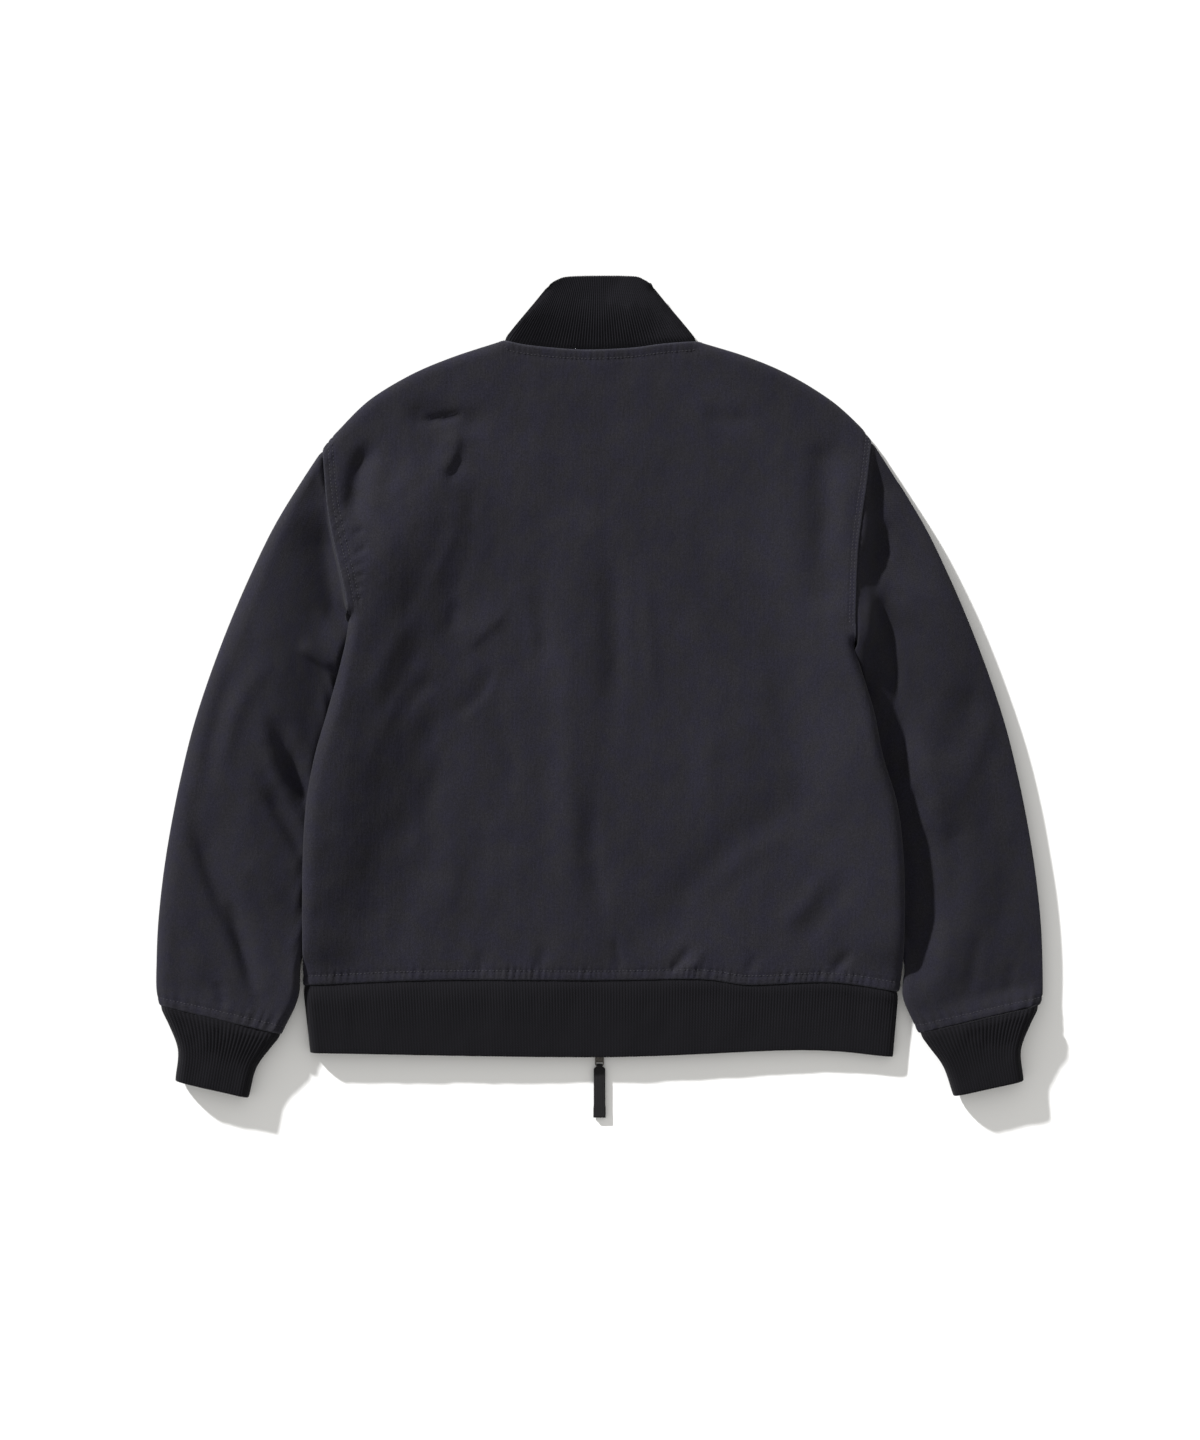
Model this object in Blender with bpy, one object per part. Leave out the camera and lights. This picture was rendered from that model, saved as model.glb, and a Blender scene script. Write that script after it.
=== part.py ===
"""A zip-front tanker jacket laid flat on a surface, face down, back up.

Every cloth piece is a thin wall with its outer face on one shared form: a flat "pillow" whose
edges roll round at the side seams and shoulders, lifted along its sides where the sleeves are
tucked underneath. All sizes are millimetres until a mesh is made. X runs across the jacket, Y from
the hem up to the collar, and Z up from the surface that it lies on. Left and right are as seen
from above, looking down at the back.
"""

import math

import bmesh
import bpy
import numpy as np
from mathutils import Matrix, Vector

# ---------------------------------------------------------------- driving dimensions
MM = 0.001
CLOTH = 2.4  # shell cloth wall
RIB = 3.0  # rib knit wall
SEAM = 0.3  # space between two pieces at a seam

BODY_TOP = 12.8  # outer face of the back over the middle of the fronts
TUCK_TOP = 9.4  # outer face of a sleeve where the body lies on it
TUCK_ROOM = 1.2  # space between that sleeve and the front above it
SIDE_ROLL = 12.0  # radius of the rolled side edge
SHOULDER_ROLL = 10.0
SLOPE_OUT = 35.0  # how far outside the lift's line the slope inside a lifted side ends
SLOPE_WIDTH = {-1: 120.0, 1: 90.0}  # width of that slope on each side
TUCK_MARGIN = 12.0  # how far the fronts stay up beyond a tucked sleeve, and then come down
TUCK_SLOPE = 28.0
TUCK_ABOVE = (44.0, 36.0)  # how far under the underarm they start to rise, and over what length
TUCK_HEM = (-264.0, 26.0)  # where they are down again by the hem, and over what length
SLEEVE_OUT = (10.0, 26.0)  # how far out from the body a sleeve starts to swell, and its ramp

ZIP_EDGE = 8.0  # half the space between the two front edges
ZIP_LIFT_W = 14.0  # width over which a front edge lifts to its tape
ZIP_TAPE_Z = 5.6  # underside of the tapes, and what a lifted edge stays under
ZIP_TAPE_T = 0.8
ZIP_TAPE_IN = 3.05
ZIP_TAPE_OUT = 17.0
CHAIN_W = 5.5
CHAIN_T = 2.6
ZIP_BOTTOM = -340.5
ZIP_TOP = 331.0

# ---------------------------------------------------------------- outlines, seen from above
# Side edge, from the hem up to the underarm: how far out it is on each side.
SIDE = {
    "columns": ("y", "left", "right"),
    "rows": (
        (-281.0, 281.6, 284.0),
        (-262.0, 281.8, 287.4),
        (-240.0, 281.8, 288.6),
        (-200.0, 281.8, 289.4),
        (-150.0, 281.0, 288.0),
        (-100.0, 277.7, 281.8),
        (-55.0, 269.5, 268.4),
        (-15.0, 258.0, 260.4),
        (30.0, 245.6, 247.2),
        (50.0, 241.0, 242.0),
        (78.0, 237.0, 241.0),
    ),
}
HEM_END = {-1: -274.0, 1: -280.0}  # where the side seam meets the hem band
UNDERARM = {-1: 76.0, 1: 50.0}
UNDERARM_EASE = 0.4  # more space where the four seams meet

# Armhole, from the underarm up to the shoulder tip: how far out, and how far up, on each side.
ARMHOLE = {
    -1: ((237.3, 76.0), (241.0, 100.0), (247.0, 126.0), (253.0, 152.0), (258.5, 184.0), (263.0, 235.5)),
    1: ((242.0, 50.0), (242.6, 92.0), (244.8, 138.0), (249.0, 172.0), (253.2, 200.0), (258.5, 243.5)),
}
# Shoulder, from its tip to the neck.
SHOULDER = {
    -1: ((263.0, 235.5), (248.0, 253.6), (219.0, 282.0), (180.0, 306.0), (140.0, 323.0), (91.0, 339.0)),
    1: ((258.5, 243.5), (246.5, 258.4), (220.0, 282.0), (181.0, 306.0), (140.0, 323.5), (93.0, 338.0)),
}
BACK_NECK = ((-91.0, 339.0), (-66.0, 334.0), (-18.0, 330.0), (29.0, 331.6), (60.0, 335.5), (93.0, 338.0))
FRONT_NECK = ((91.0, 312.0), (74.0, 288.0), (42.0, 269.0), (ZIP_EDGE, 263.0))
HEM_SEAM = ((-161.0, -269.0), (0.0, -269.0), (95.0, -268.0), (143.0, -273.4), (219.0, -271.0))
HEM_BOTTOM = ((-275.0, -338.0), (0.0, -342.0), (190.0, -335.5), (279.0, -342.0))
COLLAR_CORNER = {-1: (51.0, 388.0), 1: (52.0, 388.0)}
COLLAR_BACK_TOP = (
    (-51.0, 388.0), (-40.0, 396.5), (-24.0, 399.7), (28.0, 399.7), (42.0, 396.5), (52.0, 388.0)
)
COLLAR_FRONT_TOP = ((46.0, 372.0), (30.0, 350.0), (ZIP_EDGE, 333.0))

# ---------------------------------------------------------------- heights
# Where a side is lifted: the middle of the slope that comes down from it, and how much it is lifted.
LIFT = {
    "columns": ("y", "left", "left_rise", "right", "right_rise"),
    "rows": (
        (-281.0, 285.0, 0.0, 287.0, 0.0),
        (-260.0, 277.0, 2.0, 279.0, 2.0),
        (-240.0, 268.0, 9.0, 271.0, 9.0),
        (-200.0, 261.0, 15.0, 262.0, 13.0),
        (-150.0, 249.0, 19.0, 251.0, 16.0),
        (-107.0, 238.0, 21.0, 240.0, 17.0),
        (-12.0, 223.0, 22.0, 225.0, 18.0),
        (83.0, 199.0, 19.0, 208.0, 15.0),
        (150.0, 176.0, 14.0, 192.0, 10.0),
        (192.0, 161.0, 9.0, 180.0, 6.0),
        (235.0, 150.0, 2.0, 170.0, 1.0),
        (300.0, 140.0, 0.0, 165.0, 0.0),
    ),
}
# The largest folds: a soft ridge or trough from one point to another. Each row is
# (x0, y0, x1, y1, half width, rise).
BACK_FOLDS = (
    (-20.0, -240.0, -18.0, 150.0, 26.0, 2.6),  # over the zip
    (-170.0, 267.0, -123.0, 261.0, 12.0, -3.0),  # shoulder crease
    (-223.0, 226.0, -232.0, 182.0, 12.0, -4.0),  # beside the left armhole
    (214.0, 225.0, 214.0, 100.0, 16.0, -4.0),  # beside the right armhole
    (190.0, -107.0, 62.0, -217.0, 28.0, -2.4),  # low on the right
)
SLEEVE_FOLDS = {
    -1: (
        (308.0, -27.0, 279.0, -98.0, 14.0, -6.0),
        (375.0, -145.0, 322.0, -290.0, 12.0, -5.0),
        (365.0, -12.0, 360.0, -69.0, 9.0, -3.0),
    ),
    1: (
        (268.0, 187.0, 272.0, 120.0, 14.0, -7.0),
        (296.0, 2.0, 300.0, -88.0, 14.0, -8.0),
        (306.0, -107.0, 312.0, -262.0, 16.0, -8.0),
        (352.0, 11.0, 316.0, -69.0, 18.0, -3.0),
    ),
}

# Rings of a sleeve after the armhole: its outer edge (the same on both sides), its inner edge on each
# side, the top of the cloth, the top where it is beside or under the body, and the heights and the
# radii of its two rolled edges.
SLEEVE = {
    "columns": ("x_out", "y_out", "x_in_left", "y_in_left", "x_in_right", "y_in_right",
                "top", "top_under", "z_out", "z_in", "roll_out", "roll_in"),
    "rows": (
        (279.0, 211.0, 244.5, 62.0, 251.5, 38.0, 23.0, 22.0, 9.0, 14.0, 13.0, 12.0),
        (308.0, 163.4, 250.0, 45.0, 260.0, 24.0, 25.0, 17.0, 11.5, 10.0, 16.0, 9.0),
        (331.0, 116.0, 249.0, 24.0, 262.5, 5.0, 27.0, 10.4, 13.5, 5.2, 18.0, 7.0),
        (351.5, 68.4, 241.0, -2.0, 254.0, -20.0, 28.0, TUCK_TOP, 13.5, 4.8, 18.0, 6.0),
        (369.5, 20.9, 234.0, -30.0, 247.0, -46.0, 28.0, TUCK_TOP, 13.5, 4.8, 18.0, 6.0),
        (385.0, -26.6, 233.0, -64.0, 245.0, -76.0, 27.0, TUCK_TOP, 13.5, 4.8, 18.0, 6.0),
        (396.8, -74.0, 239.0, -100.0, 249.0, -108.0, 27.0, TUCK_TOP, 13.5, 4.8, 18.0, 6.0),
        (406.5, -121.6, 249.0, -140.0, 258.0, -146.0, 26.0, TUCK_TOP, 13.0, 4.8, 18.0, 6.0),
        (414.0, -169.0, 260.0, -180.0, 269.0, -184.0, 26.0, TUCK_TOP, 13.0, 4.8, 17.0, 6.0),
        (419.0, -216.6, 271.0, -218.0, 279.0, -221.0, 25.0, TUCK_TOP, 12.5, 4.8, 16.0, 6.0),
        (420.5, -252.0, 283.4, -251.0, 289.6, -254.0, 24.0, 12.0, 12.0, 6.0, 15.0, 7.0),
        (420.5, -280.0, 286.8, -288.0, 288.8, -288.0, 23.0, 21.0, 11.0, 9.5, 14.0, 9.0),
        (417.5, -292.6, 301.6, -319.8, 303.6, -319.0, 22.4, 22.4, 11.0, 10.6, 12.0, 10.0),
    ),
}
CUFF = {
    "columns": SLEEVE["columns"],
    "rows": (
        (407.5, -313.0, 313.5, -334.0, 314.0, -333.0, 21.4, 21.4, 10.6, 10.6, 10.5, 10.0),
        (400.6, -332.0, 324.5, -349.0, 325.0, -348.0, 20.6, 20.6, 10.2, 10.2, 10.0, 10.0),
        (402.6, -364.5, 333.5, -380.5, 336.5, -379.0, 20.0, 20.0, 10.0, 10.0, 10.0, 10.0),
    ),
}

# ---------------------------------------------------------------- where the walls have their points
# Each list runs from 0 to 1 along its edge, with more points where the cloth rolls over.
SIDE_STOPS = (0, 0.035, 0.108, 0.24, 0.37, 0.5, 0.63, 0.75, 0.86, 0.935, 1)
ARM_STOPS = (0, 0.02, 0.07, 0.19, 0.34, 0.48, 0.61, 0.74, 0.85, 0.94, 0.985, 1)
SHOULDER_STOPS = (0, 0.009, 0.03, 0.07, 0.16, 0.26, 0.4, 0.58, 0.79, 1)
NECK_STOPS = (0, 0.013, 0.05, 0.2, 0.36, 0.5, 0.64, 0.8, 0.95, 0.987, 1)
FRONT_NECK_STOPS = (0, 0.02, 0.075, 0.25, 0.45, 0.65, 0.83, 1)
HEM_SIDE_STOPS = (0, 0.008, 0.027, 0.064, 0.15, 0.25, 0.38, 0.57, 0.78, 1)
HEM_MIDDLE = 94.0  # the hem columns under the neck lie this far out
HEM_NECK_STOPS = (0, 0.05, 0.12, 0.24, 0.37, 0.5, 0.63, 0.76, 0.88, 0.95, 1)
HEM_FRONT_STOPS = (0, 0.3, 0.58, 0.78, 0.9, 1)
SHOULDER_FRONT_STOPS = (0, 0.009, 0.03, 0.07, 0.15, 0.23, 0.32, 0.42, 0.53, 0.64, 0.76, 0.86, 0.93, 0.97, 1)

COLOURS = {
    # finish: sRGB colour, roughness, metallic
    "shell": ((44, 43, 49), 0.85, 0.0),
    "rib": ((28, 28, 32), 0.9, 0.0),
    "tape": ((24, 24, 28), 0.9, 0.0),
    "strap": ((36, 35, 37), 0.75, 0.0),
    "metal": ((46, 44, 42), 0.35, 0.9),
}


# ---------------------------------------------------------------- curves and profiles
def smooth(t):
    """0 up to 0, 1 from 1, and a soft S between."""
    t = np.clip(t, 0.0, 1.0)
    return t * t * (3.0 - 2.0 * t)


def roll(distance, radius):
    """Rise of a rolled edge: 0 on the edge and 1 from one radius inside it."""
    t = 1.0 - np.clip(distance / radius, 0.0, 1.0)
    return np.sqrt(1.0 - t * t)


def at(table, column, y):
    """A column of a table at height y, smooth between the rows."""
    place = table["columns"].index(column)
    ys = np.array([row[0] for row in table["rows"]])
    values = np.array([row[place] for row in table["rows"]])
    slopes = np.gradient(values, ys)
    i = np.clip(np.searchsorted(ys, y) - 1, 0, len(ys) - 2)
    step = ys[i + 1] - ys[i]
    t = np.clip((y - ys[i]) / step, 0.0, 1.0)
    start = values[i] * (1 + 2 * t) * (1 - t) ** 2 + slopes[i] * step * t * (1 - t) ** 2
    end = values[i + 1] * (3 - 2 * t) * t**2 - slopes[i + 1] * step * (1 - t) * t**2
    return start + end


def curve(points, fractions):
    """Points at these shares of the length of a smooth curve through the given ones."""
    p = np.array(points, float)
    p = np.vstack([2 * p[0] - p[1], p, 2 * p[-1] - p[-2]])
    t = np.linspace(0, 1, 24, endpoint=False)[:, None]
    dense = []
    for a, b, c, d in zip(p, p[1:], p[2:], p[3:]):
        bend = (2 * a - 5 * b + 4 * c - d) * t**2 + (3 * b - a - 3 * c + d) * t**3
        dense.append(b + 0.5 * ((c - a) * t + bend))
    dense = np.vstack([*dense, p[-2:-1]])
    return resample(dense, fractions)


def resample(points, fractions):
    """Points at these shares of a broken line's length."""
    steps = np.linalg.norm(np.diff(points, axis=0), axis=1)
    length = np.concatenate([[0], np.cumsum(steps)])
    wanted = np.array(fractions) * length[-1]
    return np.stack([np.interp(wanted, length, points[:, k]) for k in range(points.shape[1])], axis=1)


def shares(points):
    steps = np.linalg.norm(np.diff(points, axis=0), axis=1)
    return np.concatenate([[0], np.cumsum(steps)]) / steps.sum()


def mirrored(points, side):
    """Points written as distances out from the middle, on the left (-1) or on the right (1)."""
    return np.array(points, float) * (side, 1)


def patch(bottom, top, left, right):
    """Rows of points that fill four edges, blended between them (a Coons patch)."""
    u = ((shares(bottom) + shares(top)) / 2)[None, :, None]
    v = ((shares(left) + shares(right)) / 2)[:, None, None]
    across = (1 - u) * left[:, None] + u * right[:, None]
    along = (1 - v) * bottom[None] + v * top[None]
    corners = (1 - v) * ((1 - u) * bottom[0] + u * bottom[-1]) + v * ((1 - u) * top[0] + u * top[-1])
    return across + along - corners


def distance_to(x, y, line):
    """How far points are from a broken line, seen from above."""
    nearest = np.full(np.shape(x), 1e9)
    for (ax, ay), (bx, by) in zip(line, line[1:]):
        dx = bx - ax
        dy = by - ay
        t = np.clip(((x - ax) * dx + (y - ay) * dy) / (dx * dx + dy * dy), 0, 1)
        nearest = np.minimum(nearest, np.hypot(x - ax - t * dx, y - ay - t * dy))
    return nearest


def side_line(side, fractions=SIDE_STOPS):
    """The side seam, from the hem up to the underarm."""
    y = np.linspace(HEM_END[side], UNDERARM[side], 40)
    out = at(SIDE, "left" if side < 0 else "right", y)
    return resample(np.stack([side * out, y], axis=1), fractions)


def armhole_line(side):
    """From the underarm up to the shoulder tip."""
    return curve(mirrored(ARMHOLE[side], side), 1 - np.array(ARM_STOPS[::-1]))


def shoulder_line(side, fractions=SHOULDER_STOPS):
    return curve(mirrored(SHOULDER[side], side), fractions)


def front_neck_line(side):
    """From the neck end of the shoulder down to the zip."""
    start = mirrored(SHOULDER[side][-1:], side)
    return curve(np.vstack([start, mirrored(FRONT_NECK, side)]), FRONT_NECK_STOPS)


def hem_line():
    ends = {side: side_line(side)[0] for side in (-1, 1)}
    return curve([ends[-1], *HEM_SEAM, ends[1]], np.linspace(0, 1, 200))


def on_line(line, x):
    """Points of a line that runs across the jacket, at these x."""
    return np.stack([x, np.interp(x, line[:, 0], line[:, 1])], axis=1)


# ---------------------------------------------------------------- the form that the body lies in
def folds_of(table, x, y):
    """Soft ridges and troughs, each fading out at its ends."""
    total = np.zeros(np.shape(x))
    for x0, y0, x1, y1, half_width, rise in table:
        total += rise * np.exp(-((distance_to(x, y, ((x0, y0), (x1, y1))) / half_width) ** 2))
    return total


def plateau(x, y):
    """Top of the back away from its edges."""
    top = BODY_TOP + folds_of(BACK_FOLDS, x, y)
    for side, name in ((-1, "left"), (1, "right")):
        slope = (at(LIFT, name, y) + SLOPE_OUT - side * x) / SLOPE_WIDTH[side]
        top = top + at(LIFT, name + "_rise", y) * (1 - smooth(slope))
    return top


def raised_floor(x, y):
    """Underside of the fronts: the surface, or the top of a tucked sleeve and some room."""
    floor = np.zeros(np.shape(x))
    for side, name in ((-1, "left"), (1, "right")):
        inner = sleeve_inner_x(side, y)
        over = 1 - smooth((inner - TUCK_MARGIN - side * x) / TUCK_SLOPE)
        over = over * (1 - smooth((y - UNDERARM[side] + TUCK_ABOVE[0]) / TUCK_ABOVE[1]))
        over = over * smooth((y - TUCK_HEM[0]) / TUCK_HEM[1])
        floor = np.maximum(floor, (TUCK_TOP + TUCK_ROOM) * over)
    return floor


def sleeve_inner_x(side, y):
    name = "left" if side < 0 else "right"
    x_place = SLEEVE["columns"].index("x_in_" + name)
    rows = sorted((row[x_place + 1], row[x_place]) for row in SLEEVE["rows"])
    return np.interp(y, [row[0] for row in rows], [row[1] for row in rows])


def body_heights(x, y):
    """Top and bottom of the body at points seen from above."""
    sides = [side_line(side) for side in (-1, 1)]
    shoulders = [shoulder_line(side) for side in (-1, 1)]
    from_side = np.minimum(*[distance_to(x, y, line) for line in sides])
    from_shoulder = np.minimum(*[distance_to(x, y, line) for line in shoulders])
    rise = roll(from_side, SIDE_ROLL) * roll(from_shoulder, SHOULDER_ROLL)
    high = plateau(x, y)
    low = raised_floor(x, y)
    middle = (high + low) / 2  # the height of a seam on a rolled edge
    return middle + (high - middle) * rise, middle - (middle - low) * rise


def zip_lift(x, thickness):
    """How far a front edge rises towards its tape."""
    height = ZIP_TAPE_Z - SEAM - thickness
    return height * (1 - smooth((np.abs(x) - ZIP_EDGE) / ZIP_LIFT_W))


# ---------------------------------------------------------------- walls
UP = np.array([0.0, 0.0, 1.0])
SIDEWAYS = np.array([1.0, 0.0, 0.0])


def across_seam(line):
    """Level directions square to a seam, one at each of its points."""
    run = np.gradient(line[:, :2], axis=0)
    square = np.stack([-run[:, 1], run[:, 0], np.zeros(len(run))], axis=1)
    return square / np.linalg.norm(square, axis=1)[:, None]


def normals_of(grid, ring, outward):
    """Unit directions square to a grid of points, on the side of the given direction or point."""
    if ring:
        around = np.roll(grid[:, :-1], -1, axis=1) - np.roll(grid[:, :-1], 1, axis=1)
        around = np.concatenate([around, around[:, :1]], axis=1)
        away = grid - grid[:, :-1].mean(axis=1, keepdims=True)
    else:
        around = np.gradient(grid, axis=1)
        away = np.broadcast_to(outward, grid.shape)
    normals = np.cross(around, np.gradient(grid, axis=0))
    normals /= np.linalg.norm(normals, axis=2, keepdims=True)
    return normals * np.sign((normals * away).sum())


def finish_seam(grid, normals, edge, inside, across):
    """Turns the wall's end square to its seam and draws it back by half the seam's space."""
    normals[edge] -= (normals[edge] * across).sum(axis=-1, keepdims=True) * across
    length = np.linalg.norm(normals[edge], axis=-1, keepdims=True)
    normals[edge] = normals[edge] / np.maximum(length, 1e-6)
    towards = np.sign(((grid[inside] - grid[edge]) * across).sum(axis=-1, keepdims=True))
    grid[edge] += towards * across * SEAM / 2


EDGES = {
    "bottom": (np.s_[0], np.s_[1]),
    "top": (np.s_[-1], np.s_[-2]),
    "left": (np.s_[:, 0], np.s_[:, 1]),
    "right": (np.s_[:, -1], np.s_[:, -2]),
}


def wall(name, grid, thickness, finish, seams, ring=False, outward=UP, corners=()):
    """A cloth wall: a grid of points on its outer face, and the same grid moved in."""
    grid = grid.copy()
    normals = normals_of(grid, ring, outward)
    for edge_name, across in seams:
        edge, inside = EDGES[edge_name]
        finish_seam(grid, normals, edge, inside, across)
    for row, column, direction in corners:
        normals[row, column] = direction
    layers = (grid.reshape(-1, 3), (grid - normals * thickness).reshape(-1, 3))
    rows, columns = grid.shape[:2]

    bm = bmesh.new()
    stop = bm.verts.layers.int.new("stop")
    bmesh.ops.create_grid(bm, x_segments=columns - 1, y_segments=rows - 1, size=1)
    for i, vert in enumerate(bm.verts):
        vert[stop] = i
        vert.co = Vector(layers[0][i]) * MM
    if ring:
        bmesh.ops.remove_doubles(bm, verts=bm.verts[:], dist=0.01 * MM)
    made = bmesh.ops.extrude_face_region(bm, geom=bm.faces[:])
    for vert in (g for g in made["geom"] if isinstance(g, bmesh.types.BMVert)):
        vert.co = Vector(layers[1][vert[stop]]) * MM
    return add(name, bm, finish)


def add(name, bm, finish):
    """Makes an object of a bmesh, with its normals outwards and its finish."""
    bmesh.ops.recalc_face_normals(bm, faces=bm.faces[:])
    mesh = bpy.data.meshes.new(name)
    bm.to_mesh(mesh)
    bm.free()
    mesh.shade_smooth()
    mesh.set_sharp_from_angle(angle=math.radians(40))
    mesh.materials.append(material(name, finish))
    obj = bpy.data.objects.new(name, mesh)
    bpy.context.scene.collection.objects.link(obj)
    return obj


def material(name, finish):
    colour, roughness, metallic = COLOURS[finish]
    made = bpy.data.materials.new(name + "_finish")
    made.use_nodes = True
    shader = made.node_tree.nodes["Principled BSDF"]
    linear = [((c / 255 + 0.055) / 1.055) ** 2.4 if c > 10 else c / 255 / 12.92 for c in colour]
    shader.inputs["Base Color"].default_value = (*linear, 1)
    shader.inputs["Roughness"].default_value = roughness
    shader.inputs["Metallic"].default_value = metallic
    return made


# ---------------------------------------------------------------- back and fronts
def side_and_armhole(side):
    """The outer edge of a body panel, from the hem to the shoulder tip."""
    return np.vstack([side_line(side), armhole_line(side)[1:]])


def side_seams(side):
    """Directions across the side seam, and across the armhole above it; 0 where there is none."""
    below = len(SIDE_STOPS)
    rows = below + len(ARM_STOPS) - 1
    across_side = np.zeros((rows, 3))
    across_side[:below] = UP
    across_arm = np.zeros((rows, 3))
    across_arm[below - 1:] = across_seam(armhole_line(side))
    return across_side, across_arm


UNDERARM_ROW = len(SIDE_STOPS) - 1
FRONT_NECK_ROW = len(SIDE_STOPS) + len(ARM_STOPS) - 1 - len(FRONT_NECK_STOPS)
TO_ARMPIT = (0.0, -1.0, 0.0)


def back_plan():
    left, right = (side_and_armhole(side) for side in (-1, 1))
    shoulder_left, shoulder_right = (shoulder_line(side) for side in (-1, 1))
    neck = curve(BACK_NECK, NECK_STOPS)
    top = np.vstack([shoulder_left, neck[1:-1], shoulder_right[::-1]])
    stops = np.array(HEM_SIDE_STOPS)
    x_left = left[0, 0] + (-HEM_MIDDLE - left[0, 0]) * stops
    x_right = right[0, 0] + (HEM_MIDDLE - right[0, 0]) * stops
    x_neck = -HEM_MIDDLE + 2 * HEM_MIDDLE * np.array(HEM_NECK_STOPS)
    bottom = on_line(hem_line(), np.concatenate([x_left, x_neck[1:-1], x_right[::-1]]))
    return patch(bottom, top, left, right)


def front_plan(side):
    outer = side_and_armhole(side)
    top = shoulder_line(side, SHOULDER_FRONT_STOPS)
    x_side = outer[0, 0] + (side * HEM_MIDDLE - outer[0, 0]) * np.array(HEM_SIDE_STOPS)
    x_front = side * (HEM_MIDDLE + (ZIP_EDGE - HEM_MIDDLE) * np.array(HEM_FRONT_STOPS))
    bottom = on_line(hem_line(), np.concatenate([x_side, x_front[1:]]))
    neck = front_neck_line(side)[::-1]
    below = shares(outer)[:FRONT_NECK_ROW + 1]
    zip_edge = resample(np.stack([bottom[-1], neck[0]]), below / below[-1])
    return patch(bottom, top, outer, np.vstack([zip_edge, neck[1:]]))


def back_grid():
    plan = back_plan()
    top, _ = body_heights(plan[..., 0], plan[..., 1])
    return np.dstack([plan, top])


def front_grid(side, thickness=CLOTH):
    plan = front_plan(side)
    _, bottom = body_heights(plan[..., 0], plan[..., 1])
    return np.dstack([plan, bottom + zip_lift(plan[..., 0], thickness)])


def make_back():
    grid = back_grid()
    shoulder = len(SHOULDER_STOPS)
    columns = grid.shape[1]
    across_shoulder = np.zeros((columns, 3))
    across_shoulder[:shoulder] = UP
    across_shoulder[columns - shoulder:] = UP
    across_neck = np.zeros((columns, 3))
    neck = np.s_[shoulder - 1:columns - shoulder + 1]
    across_neck[neck] = across_seam(grid[-1, neck])
    left, right = (side_seams(side) for side in (-1, 1))
    seams = [("left", left[0]), ("right", right[0]), ("top", across_shoulder)]
    seams += [("left", left[1]), ("right", right[1]), ("top", across_neck)]
    seams += [("bottom", across_seam(grid[0]))]
    corners = [(UNDERARM_ROW, 0, TO_ARMPIT), (UNDERARM_ROW, -1, TO_ARMPIT)]
    wall("back", grid, CLOTH, "shell", seams, corners=corners)


def make_front(side, name):
    grid = front_grid(side)
    across_zip = np.zeros((grid.shape[0], 3))
    across_zip[:FRONT_NECK_ROW + 1] = SIDEWAYS
    across_neck = np.zeros((grid.shape[0], 3))
    across_neck[FRONT_NECK_ROW:] = across_seam(grid[FRONT_NECK_ROW:, -1])
    across_side, across_arm = side_seams(side)
    seams = [("left", across_side), ("top", UP), ("left", across_arm), ("right", across_neck)]
    seams += [("bottom", across_seam(grid[0])), ("right", across_zip)]
    corners = [(UNDERARM_ROW, 0, TO_ARMPIT)]
    wall(name, grid, CLOTH, "shell", seams, outward=-UP, corners=corners)


# ---------------------------------------------------------------- sleeves and cuffs
def armhole_ring(side):
    """The armhole as a closed ring: over the top from the shoulder tip to the underarm, and back."""
    line = armhole_line(side)[::-1]
    top, bottom = body_heights(line[:, 0], line[:, 1])
    line[-1] += (side * UNDERARM_EASE, -UNDERARM_EASE)
    over = np.column_stack([line, top])
    under = np.column_stack([line, bottom])
    return np.vstack([over, under[::-1][1:]])


def tube_ring(side, row, folds):
    """One ring of a flattened tube, from its outer edge over the top to its inner edge, and back."""
    v = dict(zip(SLEEVE["columns"], row))
    name = "left" if side < 0 else "right"
    outer = np.array([side * v["x_out"], v["y_out"]])
    inner = np.array([side * v["x_in_" + name], v["y_in_" + name]])
    stops = np.array(ARM_STOPS)
    plan = outer + (inner - outer) * stops[:, None]
    width = np.linalg.norm(inner - outer)
    rise = roll(stops * width, v["roll_out"]) * roll((1 - stops) * width, v["roll_in"])
    middle = v["z_out"] + (v["z_in"] - v["z_out"]) * stops
    beyond_body = side * plan[:, 0] - at(SIDE, name, plan[:, 1])
    under = 1 - smooth((beyond_body - SLEEVE_OUT[0]) / SLEEVE_OUT[1])
    crease = folds_of(folds, side * plan[:, 0], plan[:, 1]) * (1 - under)
    top = v["top"] + (v["top_under"] - v["top"]) * under + crease
    over = np.column_stack([plan, middle + (top - middle) * rise])
    below = np.column_stack([plan, middle * (1 - rise)])
    return np.vstack([over, below[::-1][1:]])


def sleeve_grid(side):
    rings = [armhole_ring(side)]
    rings += [tube_ring(side, row, SLEEVE_FOLDS[side]) for row in SLEEVE["rows"]]
    return np.stack(rings)


def cuff_grid(side):
    rings = [sleeve_grid(side)[-1]]
    rings += [tube_ring(side, row, ()) for row in CUFF["rows"]]
    return np.stack(rings)


def ring_seam(ring):
    """Directions across a ring's seam, worked out along its upper half and used for both halves."""
    half = len(ARM_STOPS)
    over = across_seam(ring[:half])
    return np.vstack([over, over[::-1][1:]])


def make_sleeve(side, name):
    grid = sleeve_grid(side)
    seams = [("bottom", ring_seam(grid[0])), ("top", ring_seam(grid[-1]))]
    wall("sleeve_" + name, grid, CLOTH, "shell", seams, ring=True)
    grid = cuff_grid(side)
    wall("cuff_" + name, grid, RIB, "rib", [("bottom", ring_seam(grid[0]))], ring=True)


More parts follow.
